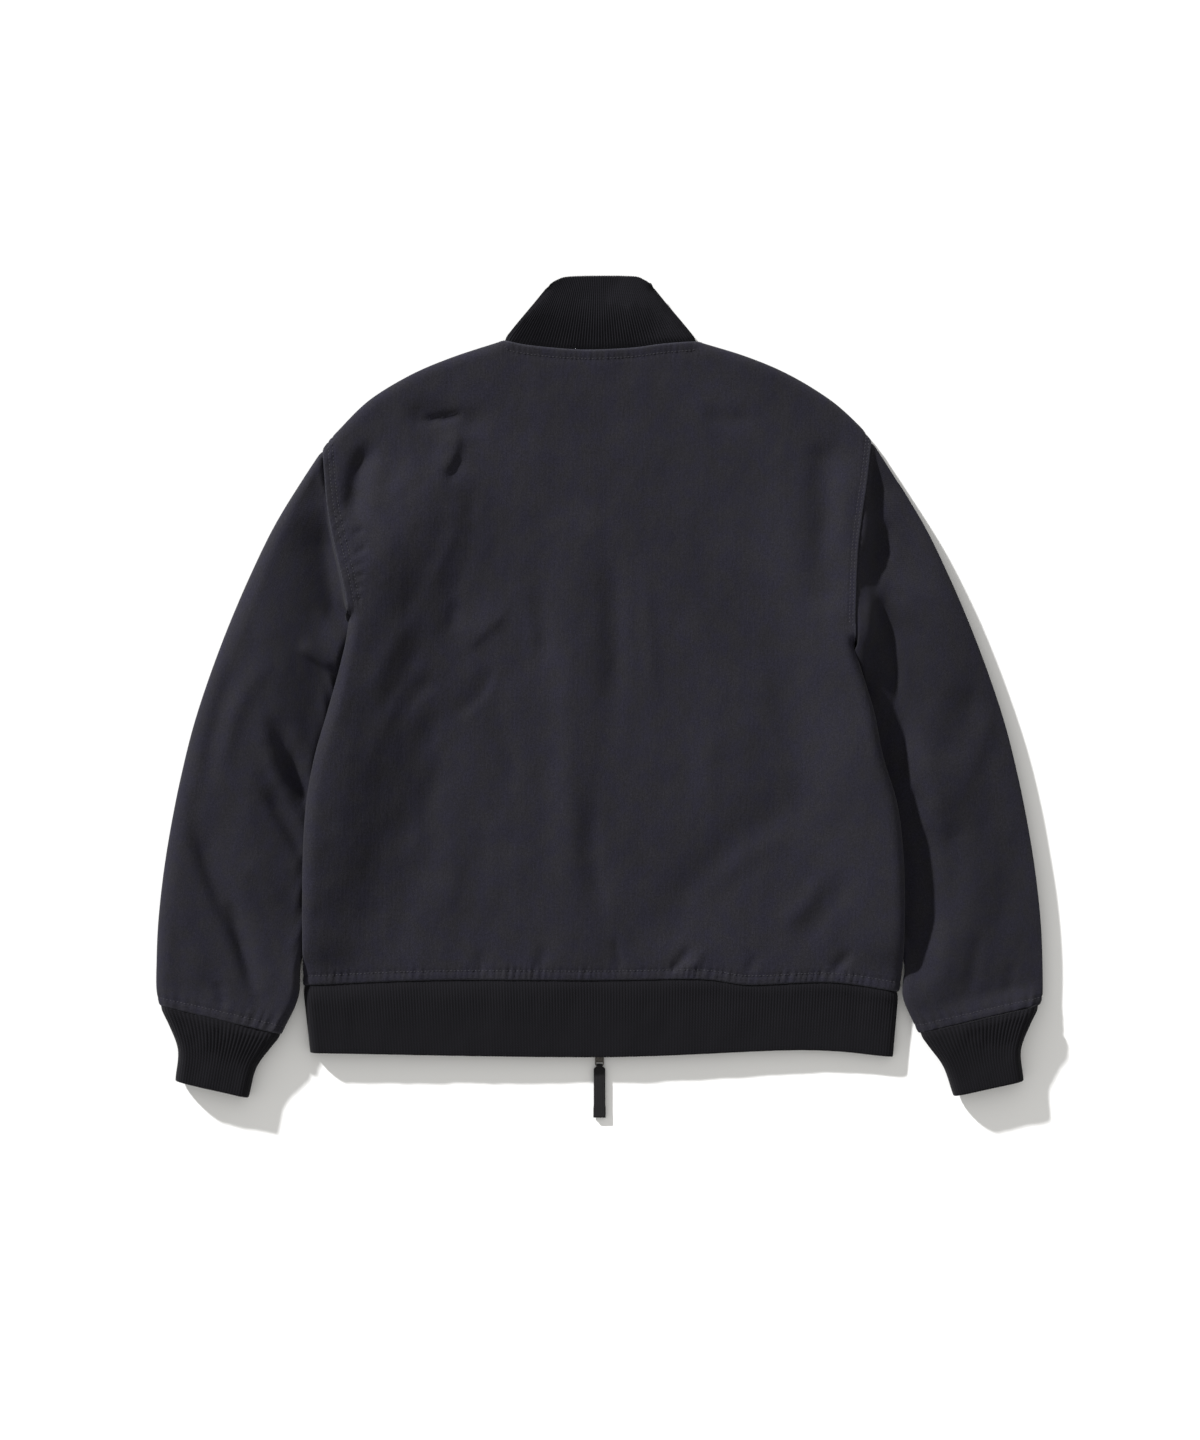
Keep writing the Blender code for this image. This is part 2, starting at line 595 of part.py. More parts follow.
# ---------------------------------------------------------------- hem band and collar
# Rows of a band after its seam, as shares of its depth, and the top of its back half at each.
HEM_STEPS = (0.45, 1.0)
HEM_TOPS = (13.4, 13.4)
COLLAR_STEPS = (0.3, 0.65, 1.0)
COLLAR_TOPS = (13.0, 12.6, 12.0)
COLLAR_EASE = 0.03  # how far its seam stays clear of the shoulder seam's end, as such a share
COLLAR_EASE_W = 14.0
BAND_ROLL = 9.0  # radius of a band's turned ends
BAND_MIDDLE = 6.8  # height of its ends
HEM_TAPER_W = 60.0  # beside the zip the hem band runs straight down, and further out it follows its ends


def band(seam, end, steps, tops, turns):
    """A strip from a seam to its free edge, which turns over at two of its columns."""
    rows = [seam]
    is_front = np.ones(len(seam), bool)
    is_front[turns[0]:turns[1] + 1] = False
    folds = [np.stack([seam[turn, :2], end[turn]]) for turn in turns]
    for step, top in zip(steps, tops):
        plan = seam[:, :2] * (1 - step) + end * step
        x = plan[:, 0]
        rise = roll(np.minimum(*[distance_to(x, plan[:, 1], fold) for fold in folds]), BAND_ROLL)
        over = BAND_MIDDLE + (top - BAND_MIDDLE) * rise
        below = BAND_MIDDLE * (1 - rise) + zip_lift(x, RIB)
        rows.append(np.column_stack([plan, np.where(is_front, below, over)]))
    return np.stack(rows)


def rib_seam(seam, turns):
    """Directions across a band's seam; where it turns over, half way between back and front."""
    a, b = turns
    first, back, last = (across_seam(part) for part in (seam[:a + 1], seam[a:b + 1], seam[b:]))
    for front_end, back_end in ((first[-1], back[0]), (last[0], back[-1])):
        back_end += front_end * np.sign(front_end @ back_end)
        back_end /= np.linalg.norm(back_end)
    return np.vstack([first[:-1], back, last[1:]])


def hem_grid():
    fronts = {side: front_grid(side, RIB)[0] for side in (-1, 1)}
    back = back_grid()[0]
    seam = np.vstack([fronts[-1][::-1], back[1:-1], fronts[1]])
    turns = (len(fronts[-1]) - 1, len(fronts[-1]) - 1 + len(back) - 1)
    bottom = curve(HEM_BOTTOM, np.linspace(0, 1, 200))
    left, right = back[0, 0], back[-1, 0]
    share = (seam[:, 0] - left) / (right - left)
    x = bottom[0, 0] + (bottom[-1, 0] - bottom[0, 0]) * share
    from_zip = smooth((np.abs(seam[:, 0]) - ZIP_EDGE) / HEM_TAPER_W)
    x = seam[:, 0] * (1 - from_zip) + x * from_zip
    return band(seam, on_line(bottom, x), HEM_STEPS, HEM_TOPS, turns), turns


def collar_grid():
    fronts = {side: front_grid(side, RIB)[FRONT_NECK_ROW:, -1] for side in (-1, 1)}
    first = len(SHOULDER_STOPS) - 1
    back = back_grid()[-1, first:-first]
    seam = np.vstack([fronts[-1], back[1:-1], fronts[1][::-1]])
    turns = (len(fronts[-1]) - 1, len(fronts[-1]) - 1 + len(back) - 1)
    tops = {}
    for side in (-1, 1):
        points = mirrored([COLLAR_CORNER[side], *COLLAR_FRONT_TOP], side)
        tops[side] = curve(points, FRONT_NECK_STOPS)
    back_top = curve(COLLAR_BACK_TOP, NECK_STOPS)
    end = np.vstack([tops[-1][::-1], back_top[1:-1], tops[1]])
    from_turn = np.minimum(*[np.linalg.norm(seam[:, :2] - seam[turn, :2], axis=1) for turn in turns])
    ease = COLLAR_EASE * (1 - smooth(from_turn / COLLAR_EASE_W))
    seam[:, :2] += (end - seam[:, :2]) * ease[:, None]
    return band(seam, end, COLLAR_STEPS, COLLAR_TOPS, turns), turns


def make_band(name, grid, turns):
    """A band goes round from zip edge to zip edge, so outwards is away from its middle."""
    seams = [("bottom", rib_seam(grid[0], turns)), ("left", SIDEWAYS), ("right", SIDEWAYS)]
    wall(name, grid, RIB, "rib", seams, outward=grid - grid.mean(axis=(0, 1)))


# ---------------------------------------------------------------- zip
def box(bm, low, high):
    """A block between two corners."""
    low, high = Vector(low), Vector(high)
    place = Matrix.Translation((low + high) / 2 * MM) @ Matrix.Diagonal(((high - low) * MM).to_4d())
    place[3][3] = 1
    return bmesh.ops.create_cube(bm, size=1, matrix=place)["verts"]


def block(name, low, high, finish):
    bm = bmesh.new()
    box(bm, low, high)
    return add(name, bm, finish)


def make_tape(side, name):
    bm = bmesh.new()
    inner = side * ZIP_TAPE_IN
    outer = side * ZIP_TAPE_OUT
    low = (min(inner, outer), ZIP_BOTTOM, ZIP_TAPE_Z)
    high = (max(inner, outer), ZIP_TOP, ZIP_TAPE_Z + ZIP_TAPE_T)
    box(bm, low, high)
    add("zip_tape_" + name, bm, "tape")


SLIDER_L = 12.0
SLIDER_W = 9.6
SLIDER_Z = (3.6, 8.4)
SLIDER_EDGE = 0.7  # its rounded edges
ROOM = 0.35  # between a slider and what runs through it
THROAT_Z = (4.4, 7.6)  # inside, round the chain
TAPE_SLOT_Z = (5.2, 6.8)
NOSE = 3.4  # length of the closed end, which parts the two tapes
BRIDGE_W = 2.0
BRIDGE_L = 7.2
BRIDGE_Z = (0.6, 1.5)  # bottom and top of its bar
BRIDGE_POST = 1.1
PULL_Z = 2.5  # height of the pull's axis
WIRE_R = 0.6
LINK_W = 7.2
LINK_L = 16.0
LINK_CORNER = 1.2
STRAP_W = 11.0
STRAP_L = 51.2
STRAP_T = 3.2
STRAP_LAYER = 1.4
STRAP_SEWN = 4.0  # its free ends are sewn together over this length
STRAP_EYE_R = 0.85
STRAP_NECK = (5.4, 2.4)  # width and length of what passes through the link
BEYOND = 1.0  # how far a cutter runs past what it cuts
SLIDERS = {
    # name: where its pull's axis is along the zip, and which way its closed end points
    "lower": (-334.5, -1),
    "upper": (324.0, 1),
}


def cut(target, cutter):
    """Boolean cut by a hidden block."""
    cutter.hide_render = True
    cutter.display_type = "WIRE"
    modifier = target.modifiers.new("cut_" + cutter.name, "BOOLEAN")
    modifier.operation = "DIFFERENCE"
    modifier.object = cutter


def make_slider(name, pivot, nose):
    """Two plates round the chain, joined at the nose, with a bridge underneath for the pull."""
    low_y = pivot - SLIDER_L / 2
    high_y = pivot + SLIDER_L / 2
    half = SLIDER_W / 2
    slider = block("slider_" + name, (-half, low_y, SLIDER_Z[0]), (half, high_y, SLIDER_Z[1]), "metal")
    rounding = slider.modifiers.new("rounded", "BEVEL")
    rounding.width = SLIDER_EDGE * MM
    rounding.segments = 2

    half_w = BRIDGE_W / 2
    half_l = BRIDGE_L / 2
    bridge = block("bridge_" + name, (-half_w, pivot - half_l, BRIDGE_Z[0]),
                   (half_w, pivot + half_l, (SLIDER_Z[0] + THROAT_Z[0]) / 2), "metal")
    eye = block("bridge_eye_" + name, (-half_w - BEYOND, pivot - half_l + BRIDGE_POST, BRIDGE_Z[1]),
                (half_w + BEYOND, pivot + half_l - BRIDGE_POST, SLIDER_Z[0]), "metal")
    cut(bridge, eye)
    bridge.hide_render = True
    bridge.display_type = "WIRE"
    join = slider.modifiers.new("bridge", "BOOLEAN")
    join.operation = "UNION"
    join.object = bridge

    back = pivot - nose * (SLIDER_L / 2 + BEYOND)
    front = pivot + nose * (SLIDER_L / 2 - NOSE)
    throat = CHAIN_W / 2 + ROOM
    cut(slider, block("throat_" + name, (-throat, min(back, front), THROAT_Z[0]),
                      (throat, max(back, front), THROAT_Z[1]), "metal"))
    for side in (-1, 1):
        near = side * (ZIP_TAPE_IN - ROOM)
        far = side * (half + BEYOND)
        cut(slider, block(f"tape_slot_{name}_{side + 1}", (min(near, far), low_y - BEYOND, TAPE_SLOT_Z[0]),
                          (max(near, far), high_y + BEYOND, TAPE_SLOT_Z[1]), "metal"))


def make_link(name, pivot):
    """A wire frame: its near bar turns in the bridge, its far bar carries the strap."""
    across = LINK_W / 2 - LINK_CORNER
    near = LINK_CORNER
    far = LINK_L - LINK_CORNER
    points = []
    for x, y, start in ((across, near, -90), (across, far, 0), (-across, far, 90), (-across, near, 180)):
        for turn in (0, 30, 60, 90):
            angle = math.radians(start + turn)
            points.append((x + LINK_CORNER * math.cos(angle), -y - LINK_CORNER * math.sin(angle)))
    data = bpy.data.curves.new("link_" + name, "CURVE")
    data.dimensions = "3D"
    data.bevel_depth = WIRE_R * MM
    data.bevel_resolution = 2
    spline = data.splines.new("POLY")
    spline.points.add(len(points) - 1)
    for point, (x, y) in zip(spline.points, points):
        point.co = (x * MM, y * MM, 0, 1)
    spline.use_cyclic_u = True
    data.materials.append(material("link_" + name, "metal"))
    link = bpy.data.objects.new("link_" + name, data)
    link.location = (0, pivot * MM, PULL_Z * MM)
    bpy.context.scene.collection.objects.link(link)
    return link


def make_strap(name, link):
    """A strap folded round the link's far bar, its two layers lying on each other."""
    half_t = STRAP_T / 2
    slit = half_t - STRAP_LAYER
    end = half_t - STRAP_L
    quarter = math.pi / 2
    outside = [(half_t * math.sin(a), half_t * math.cos(a)) for a in np.linspace(-quarter, quarter, 13)]
    profile = outside + [(half_t, end), (-half_t, end)]
    mouth = math.pi - math.asin(slit / STRAP_EYE_R)
    eye = [(STRAP_EYE_R * math.sin(a), STRAP_EYE_R * math.cos(a)) for a in np.linspace(-mouth, mouth, 11)]
    inner = [(-slit, end + STRAP_SEWN)] + eye + [(slit, end + STRAP_SEWN)]
    bm = bmesh.new()
    edges = []
    for x in (-STRAP_W / 2, STRAP_W / 2):
        for line in (profile, inner):
            loop = [bm.verts.new((x * MM, y * MM, z * MM)) for z, y in line]
            edges.append([bm.edges.new((a, b)) for a, b in zip(loop, loop[1:] + loop[:1])])
    for first, second in ((0, 2), (1, 3)):
        bmesh.ops.bridge_loops(bm, edges=edges[first] + edges[second])
    for first, second in ((0, 1), (2, 3)):
        bmesh.ops.triangle_fill(bm, edges=edges[first] + edges[second], use_beauty=True)
    strap = add("strap_" + name, bm, "strap")
    strap.parent = link
    strap.location = (0, -LINK_L * MM, 0)
    neck_w, neck_l = STRAP_NECK
    for side in (-1, 1):
        near = side * neck_w / 2
        far = side * (STRAP_W / 2 + BEYOND)
        corner = block(f"strap_corner_{name}_{side + 1}", (min(near, far), -neck_l, -STRAP_T),
                       (max(near, far), STRAP_T, STRAP_T), "strap")
        corner.parent = strap
        cut(strap, corner)


def make_zip():
    for side, name in ((-1, "left"), (1, "right")):
        make_tape(side, name)
    ends = []
    for name, (pivot, nose) in SLIDERS.items():
        make_slider(name, pivot, nose)
        link = make_link(name, pivot)
        make_strap(name, link)
        ends.append(pivot + nose * (SLIDER_L / 2 - NOSE - SEAM))
    low, high = ends
    z = ZIP_TAPE_Z + ZIP_TAPE_T / 2
    block("zip_chain", (-CHAIN_W / 2, low, z - CHAIN_T / 2), (CHAIN_W / 2, high, z + CHAIN_T / 2), "metal")


def main():
    for obj in list(bpy.data.objects):
        bpy.data.objects.remove(obj)
    make_back()
    for side, name in ((-1, "left"), (1, "right")):
        make_front(side, "front_" + name)
        make_sleeve(side, name)
    make_band("hem_rib", *hem_grid())
    make_band("collar", *collar_grid())
    make_zip()


main()
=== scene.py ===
# %% [markdown]
# # A tanker jacket laid flat, face down
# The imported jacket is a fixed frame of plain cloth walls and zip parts. This lesson sews a finished
# jacket round it: each wall is made again as a fine sheet on the same form, with its seams, rows of
# topstitching, creases and ribs as real geometry, and then every surface gets its finish.
# A cloth simulation could lay the jacket down too. It is placed by formulas here, because they keep
# the outline of the real one and can be read and changed.

import math

import bmesh
import bpy
import numpy as np
from mathutils import Matrix, Vector, noise


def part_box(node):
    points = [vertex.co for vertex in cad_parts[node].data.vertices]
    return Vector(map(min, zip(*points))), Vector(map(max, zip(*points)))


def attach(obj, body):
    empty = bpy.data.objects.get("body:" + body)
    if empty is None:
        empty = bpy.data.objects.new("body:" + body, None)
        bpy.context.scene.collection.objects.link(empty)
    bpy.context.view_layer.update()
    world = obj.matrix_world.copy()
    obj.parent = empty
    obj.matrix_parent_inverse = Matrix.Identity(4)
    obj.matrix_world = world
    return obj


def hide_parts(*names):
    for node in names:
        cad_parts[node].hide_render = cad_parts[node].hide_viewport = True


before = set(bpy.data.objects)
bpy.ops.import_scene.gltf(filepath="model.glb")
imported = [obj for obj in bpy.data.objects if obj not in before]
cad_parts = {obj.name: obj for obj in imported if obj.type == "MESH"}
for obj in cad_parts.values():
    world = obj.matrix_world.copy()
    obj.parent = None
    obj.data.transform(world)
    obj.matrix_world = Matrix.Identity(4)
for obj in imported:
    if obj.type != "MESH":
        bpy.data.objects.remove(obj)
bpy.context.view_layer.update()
scene = bpy.context.scene
MM = 0.001
SIDE_NAME = {-1: "left", 1: "right"}
SIDES = tuple(SIDE_NAME.items())

# %% [markdown]
# ## Camera, floor and light
# The photograph is a product shot from straight above on white, with one low hard light from the
# upper left and a bright white room that fills the shadows. A far camera with a long lens keeps the
# view nearly parallel. One wide sun and an even white sky give that light.

# %% Camera straight above the jacket
PHOTO_WIDE = 1200
PHOTO_HIGH = 1440
PIXEL = 0.95 * MM  # of the jacket, for each pixel of the photograph
MIDDLE_PIXEL = (599.5, 697.0)  # where the frame's origin is in the photograph
LENS = 100.0
SENSOR = 36.0
CLOTH_LEVEL = 9 * MM  # the height at which a pixel has its size

camera_data = bpy.data.cameras.new("camera")
camera_data.lens = LENS
camera_data.sensor_width = SENSOR
camera = bpy.data.objects.new("camera", camera_data)
camera.location = ((PHOTO_WIDE / 2 - MIDDLE_PIXEL[0]) * PIXEL, (MIDDLE_PIXEL[1] - PHOTO_HIGH / 2) * PIXEL,
                   CLOTH_LEVEL + PHOTO_HIGH * PIXEL * LENS / SENSOR)
scene.collection.objects.link(camera)
scene.camera = camera
scene.view_settings.view_transform = "Standard"
print("camera at", [round(v, 3) for v in camera.location])

# %% Floor, sun and sky
FLOOR_HALF = 5.0
FLOOR_GREY = 0.97
FLOOR_BELOW = 0.3 * MM  # so that it never cuts into the lowest cloth
SKY = (0.60, 0.594, 0.575)
SUN = 6.0
SUN_HEIGHT = 21.0  # degrees above the floor
SUN_ACROSS = (0.655, -0.755)  # the way that the shadows fall
SUN_SIZE = 2.6  # degrees across, which makes the shadows' edges a little soft


def plain_material(name, colour, roughness, specular=0.5, metallic=0.0):
    """A new material and its shader, with the values that are the same all over."""
    made = bpy.data.materials.new(name)
    made.use_nodes = True
    shader = made.node_tree.nodes["Principled BSDF"]
    shader.inputs["Base Color"].default_value = (*colour, 1)
    shader.inputs["Roughness"].default_value = roughness
    shader.inputs["Specular IOR Level"].default_value = specular
    shader.inputs["Metallic"].default_value = metallic
    return made, shader


def add_object(name, mesh):
    made = bpy.data.objects.new(name, mesh)
    scene.collection.objects.link(made)
    return made


def mesh_of(bm, name):
    """A mesh made of what was worked on, which is then let go."""
    mesh = bpy.data.meshes.new(name)
    bm.to_mesh(mesh)
    bm.free()
    return mesh


bm = bmesh.new()
bmesh.ops.create_grid(bm, x_segments=1, y_segments=1, size=FLOOR_HALF)
floor_mesh = mesh_of(bm, "floor")
floor_mesh.materials.append(plain_material("white_floor", (FLOOR_GREY,) * 3, 0.8, 0.0)[0])
floor = add_object("floor", floor_mesh)
floor.location.z = -FLOOR_BELOW

sun_data = bpy.data.lights.new("sun", "SUN")
sun_data.energy = SUN
sun_data.angle = math.radians(SUN_SIZE)
sun = bpy.data.objects.new("sun", sun_data)
low = math.radians(SUN_HEIGHT)
shines = Vector((SUN_ACROSS[0] * math.cos(low), SUN_ACROSS[1] * math.cos(low), -math.sin(low)))
sun.rotation_euler = shines.to_track_quat("-Z", "Y").to_euler()
scene.collection.objects.link(sun)

sky = bpy.data.worlds.new("sky")
sky.use_nodes = True
sky.node_tree.nodes["Background"].inputs["Color"].default_value = (*SKY, 1)
scene.world = sky
print("sun", SUN_HEIGHT, "degrees up, sky", SKY[0])

# %% [markdown]
# ## The pattern of the jacket
# These tables say the same as the frame's own source, in millimetres: where the side seams, armholes,
# shoulders, neck and hem run, and how high the cloth lies. X runs across the jacket, Y up to the
# collar and Z out of the back. Left (-1) and right (1) are as seen in the photograph.
# Only the sleeves depart from the frame: they fall more softly beside the body, the left one keeps a
# low shelf there, and the right one lies 6 to 10 mm lower, as the long shadows beside it ask for.

# %% Outlines
SIDE = {
    "columns": ("y", "left", "right"),
    "rows": (
        (-281.0, 281.6, 284.0),
        (-262.0, 281.8, 287.4),
        (-240.0, 281.8, 288.6),
        (-200.0, 281.8, 289.4),
        (-150.0, 281.0, 288.0),
        (-100.0, 277.7, 281.8),
        (-55.0, 269.5, 268.4),
        (-15.0, 258.0, 260.4),
        (30.0, 245.6, 247.2),
        (50.0, 241.0, 242.0),
        (78.0, 237.0, 241.0),
    ),
}
HEM_END = {-1: -274.0, 1: -280.0}
UNDERARM = {-1: 76.0, 1: 50.0}
ARMHOLE = {
    -1: ((237.3, 76.0), (241.0, 100.0), (247.0, 126.0), (253.0, 152.0), (258.5, 184.0), (263.0, 235.5)),
    1: ((242.0, 50.0), (242.6, 92.0), (244.8, 138.0), (249.0, 172.0), (253.2, 200.0), (258.5, 243.5)),
}
SHOULDER = {
    -1: ((263.0, 235.5), (248.0, 253.6), (219.0, 282.0), (180.0, 306.0), (140.0, 323.0), (91.0, 339.0)),
    1: ((258.5, 243.5), (246.5, 258.4), (220.0, 282.0), (181.0, 306.0), (140.0, 323.5), (93.0, 338.0)),
}
ZIP_EDGE = 8.0  # half the space between the two front edges
BACK_NECK = ((-91.0, 339.0), (-66.0, 334.0), (-18.0, 330.0), (29.0, 331.6), (60.0, 335.5), (93.0, 338.0))
FRONT_NECK = ((91.0, 312.0), (74.0, 288.0), (42.0, 269.0), (ZIP_EDGE, 263.0))
HEM_SEAM = ((-161.0, -269.0), (0.0, -269.0), (95.0, -268.0), (143.0, -273.4), (219.0, -271.0))
HEM_BOTTOM = ((-275.0, -338.0), (0.0, -342.0), (190.0, -335.5), (279.0, -342.0))
COLLAR_CORNER = {-1: (51.0, 388.0), 1: (52.0, 388.0)}
COLLAR_BACK_TOP = (
    (-51.0, 388.0), (-40.0, 396.5), (-24.0, 399.7), (28.0, 399.7), (42.0, 396.5), (52.0, 388.0)
)
COLLAR_FRONT_TOP = ((46.0, 372.0), (30.0, 350.0), (ZIP_EDGE, 333.0))

# %% Heights of the body
BODY_TOP = 12.8  # the back's outer face where it lies on the fronts alone
TUCK_TOP = 9.4  # top of a tucked sleeve
TUCK_ROOM = 1.2  # between that sleeve and the front above it
SIDE_ROLL = 12.0  # width of the rolled edge at the sides
SHOULDER_ROLL = 10.0  # and at the shoulders
SLOPE_OUT = 35.0  # how far outside the lift's line the slope ends
SLOPE_WIDTH = {-1: 120.0, 1: 90.0}  # width of that slope on each side
TUCK_MARGIN = 12.0  # the fronts are fully risen this far before the tucked sleeve's inner edge
TUCK_SLOPE = 28.0  # and rise over this width
TUCK_ABOVE = (44.0, 36.0)  # full this far below the underarm, and it fades upwards over this length
TUCK_HEM = (-264.0, 26.0)  # starts at this Y beside the hem, and is full after this length
LIFT = {
    "columns": ("y", "left", "left_rise", "right", "right_rise"),
    "rows": (
        (-281.0, 285.0, 0.0, 287.0, 0.0),
        (-260.0, 277.0, 2.0, 279.0, 2.0),
        (-240.0, 268.0, 9.0, 271.0, 9.0),
        (-200.0, 261.0, 15.0, 262.0, 13.0),
        (-150.0, 249.0, 19.0, 251.0, 16.0),
        (-107.0, 238.0, 21.0, 240.0, 17.0),
        (-12.0, 223.0, 22.0, 225.0, 18.0),
        (83.0, 199.0, 19.0, 208.0, 15.0),
        (150.0, 176.0, 14.0, 192.0, 10.0),
        (192.0, 161.0, 9.0, 180.0, 6.0),
        (235.0, 150.0, 2.0, 170.0, 1.0),
        (300.0, 140.0, 0.0, 165.0, 0.0),
    ),
}
BACK_FOLDS = (
    # x and y of both ends, half width, rise
    (-20.0, -240.0, -18.0, 150.0, 26.0, 2.6),
    (-170.0, 267.0, -123.0, 261.0, 12.0, -3.0),
    (-223.0, 226.0, -232.0, 182.0, 12.0, -4.0),
    (214.0, 225.0, 214.0, 100.0, 16.0, -4.0),
    (190.0, -107.0, 62.0, -217.0, 28.0, -2.4),
)

# %% Rings of the sleeves and cuffs
SLEEVE_OUT = {-1: (-2.0, 62.0), 1: (9.0, 34.0)}  # a softer start than the frame's, out from the body's edge
SLEEVE_SHELF = {-1: 7.0, 1: 0.0}  # the left sleeve stays this much higher until it is below the body's edge
SHELF_OUT = (-10.0, 12.0)  # where that shelf starts, out from the body's edge, and how soon it is full
UNDERARM_EASE = 0.4  # the armhole ring's underarm point moves out and down by this
SLEEVE = {
    "columns": ("x_out", "y_out", "x_in_left", "y_in_left", "x_in_right", "y_in_right",
                "top", "top_under", "z_out", "z_in", "roll_out", "roll_in"),
    "rows": (
        (279.0, 211.0, 244.5, 62.0, 251.5, 38.0, 23.0, 22.0, 9.0, 14.0, 13.0, 12.0),
        (308.0, 163.4, 250.0, 45.0, 260.0, 24.0, 25.0, 17.0, 11.5, 10.0, 16.0, 9.0),
        (331.0, 116.0, 249.0, 24.0, 262.5, 5.0, 27.0, 10.4, 13.5, 5.2, 18.0, 7.0),
        (351.5, 68.4, 241.0, -2.0, 254.0, -20.0, 28.0, TUCK_TOP, 13.5, 4.8, 18.0, 6.0),
        (369.5, 20.9, 234.0, -30.0, 247.0, -46.0, 28.0, TUCK_TOP, 13.5, 4.8, 18.0, 6.0),
        (385.0, -26.6, 233.0, -64.0, 245.0, -76.0, 27.0, TUCK_TOP, 13.5, 4.8, 18.0, 6.0),
        (396.8, -74.0, 239.0, -100.0, 249.0, -108.0, 27.0, TUCK_TOP, 13.5, 4.8, 18.0, 6.0),
        (406.5, -121.6, 249.0, -140.0, 258.0, -146.0, 26.0, TUCK_TOP, 13.0, 4.8, 18.0, 6.0),
        (414.0, -169.0, 260.0, -180.0, 269.0, -184.0, 26.0, TUCK_TOP, 13.0, 4.8, 17.0, 6.0),
        (419.0, -216.6, 271.0, -218.0, 279.0, -221.0, 25.0, TUCK_TOP, 12.5, 4.8, 16.0, 6.0),
        (420.5, -252.0, 283.4, -251.0, 289.6, -254.0, 24.0, 12.0, 12.0, 6.0, 15.0, 7.0),
        (420.5, -280.0, 286.8, -288.0, 288.8, -288.0, 23.0, 21.0, 11.0, 9.5, 14.0, 9.0),
        (417.5, -292.6, 301.6, -319.8, 303.6, -319.0, 22.4, 22.4, 11.0, 10.6, 12.0, 10.0),
    ),
}
CUFF_ROWS = (
    (407.5, -313.0, 313.5, -334.0, 314.0, -333.0, 21.4, 21.4, 10.6, 10.6, 10.5, 10.0),
    (400.6, -332.0, 324.5, -349.0, 325.0, -348.0, 20.6, 20.6, 10.2, 10.2, 10.0, 10.0),
    (402.6, -364.5, 333.5, -380.5, 336.5, -379.0, 20.0, 20.0, 10.0, 10.0, 10.0, 10.0),
)

# %% [markdown]
# ## Drawing the pattern
# A tailor draws a smooth curve through a few marks and walks along it with a tape. These helpers do
# the same: a curve through points, places at shares of its length, and a sheet of points that fills
# the four edges of a panel (a Coons patch).

# %% Curves and panels


def smooth(t):
    """0 up to 0, 1 from 1, and a soft S between."""
    t = np.clip(t, 0.0, 1.0)
    return t * t * (3.0 - 2.0 * t)


def roll(distance, radius):
    """Rise of a rolled edge: 0 on the edge and 1 from one radius inside it."""
    t = 1.0 - np.clip(distance / radius, 0.0, 1.0)
    return np.sqrt(1.0 - t * t)


def through(values, places, wanted):
    """Smooth values between the given ones, at the wanted places."""
    slopes = np.gradient(values, places, axis=0)
    i = np.clip(np.searchsorted(places, wanted) - 1, 0, len(places) - 2)
    step = places[i + 1] - places[i]
    t = np.clip((wanted - places[i]) / step, 0.0, 1.0)
    shape = np.shape(t) + (1,) * (values.ndim - 1)
    t = np.reshape(t, shape)
    step = np.reshape(step, shape)
    start = values[i] * (1 + 2 * t) * (1 - t) ** 2 + slopes[i] * step * t * (1 - t) ** 2
    end = values[i + 1] * (3 - 2 * t) * t**2 - slopes[i + 1] * step * (1 - t) * t**2
    return start + end


def at(table, column, y):
    """A column of a table at height y."""
    place = table["columns"].index(column)
    return through(np.array([row[place] for row in table["rows"]]),
                   np.array([row[0] for row in table["rows"]]), y)


def curve(points, fractions):
    """Points at these shares of the length of a smooth curve through the given ones."""
    p = np.array(points, float)
    p = np.vstack([2 * p[0] - p[1], p, 2 * p[-1] - p[-2]])
    t = np.linspace(0, 1, 40, endpoint=False)[:, None]
    dense = []
    for a, b, c, d in zip(p, p[1:], p[2:], p[3:]):
        bend = (2 * a - 5 * b + 4 * c - d) * t**2 + (3 * b - a - 3 * c + d) * t**3
        dense.append(b + 0.5 * ((c - a) * t + bend))
    return resample(np.vstack([*dense, p[-2:-1]]), fractions)


def lengths(points):
    """How far along a broken line each of its points is."""
    steps = np.linalg.norm(np.diff(points, axis=0), axis=1)
    return np.concatenate([[0], np.cumsum(steps)])


def resample(points, fractions):
    """Points at these shares of a broken line's length."""
    along = lengths(points)
    wanted = np.array(fractions) * along[-1]
    return np.stack([np.interp(wanted, along, points[:, k]) for k in range(points.shape[1])], axis=1)


def shares(points):
    along = lengths(points)
    return along / along[-1]


def stops(length, near_start, near_end, count):
    """Shares along an edge: at these distances from its two ends, and evenly spaced between."""
    start = np.array(near_start, float)
    end = length - np.array(near_end, float)[::-1]
    between = np.linspace(start[-1], end[0], count + 1)
    return np.concatenate([start[:-1], between, end[1:]]) / length


def mirrored(points, side):
    return np.array(points, float) * (side, 1)


def panel(bottom, top, left, right):
    """Rows of points that fill four edges."""
    u = ((shares(bottom) + shares(top)) / 2)[None, :, None]
    v = ((shares(left) + shares(right)) / 2)[:, None, None]
    across = (1 - u) * left[:, None] + u * right[:, None]
    along = (1 - v) * bottom[None] + v * top[None]
    corners = (1 - v) * ((1 - u) * bottom[0] + u * bottom[-1]) + v * ((1 - u) * top[0] + u * top[-1])
    return across + along - corners


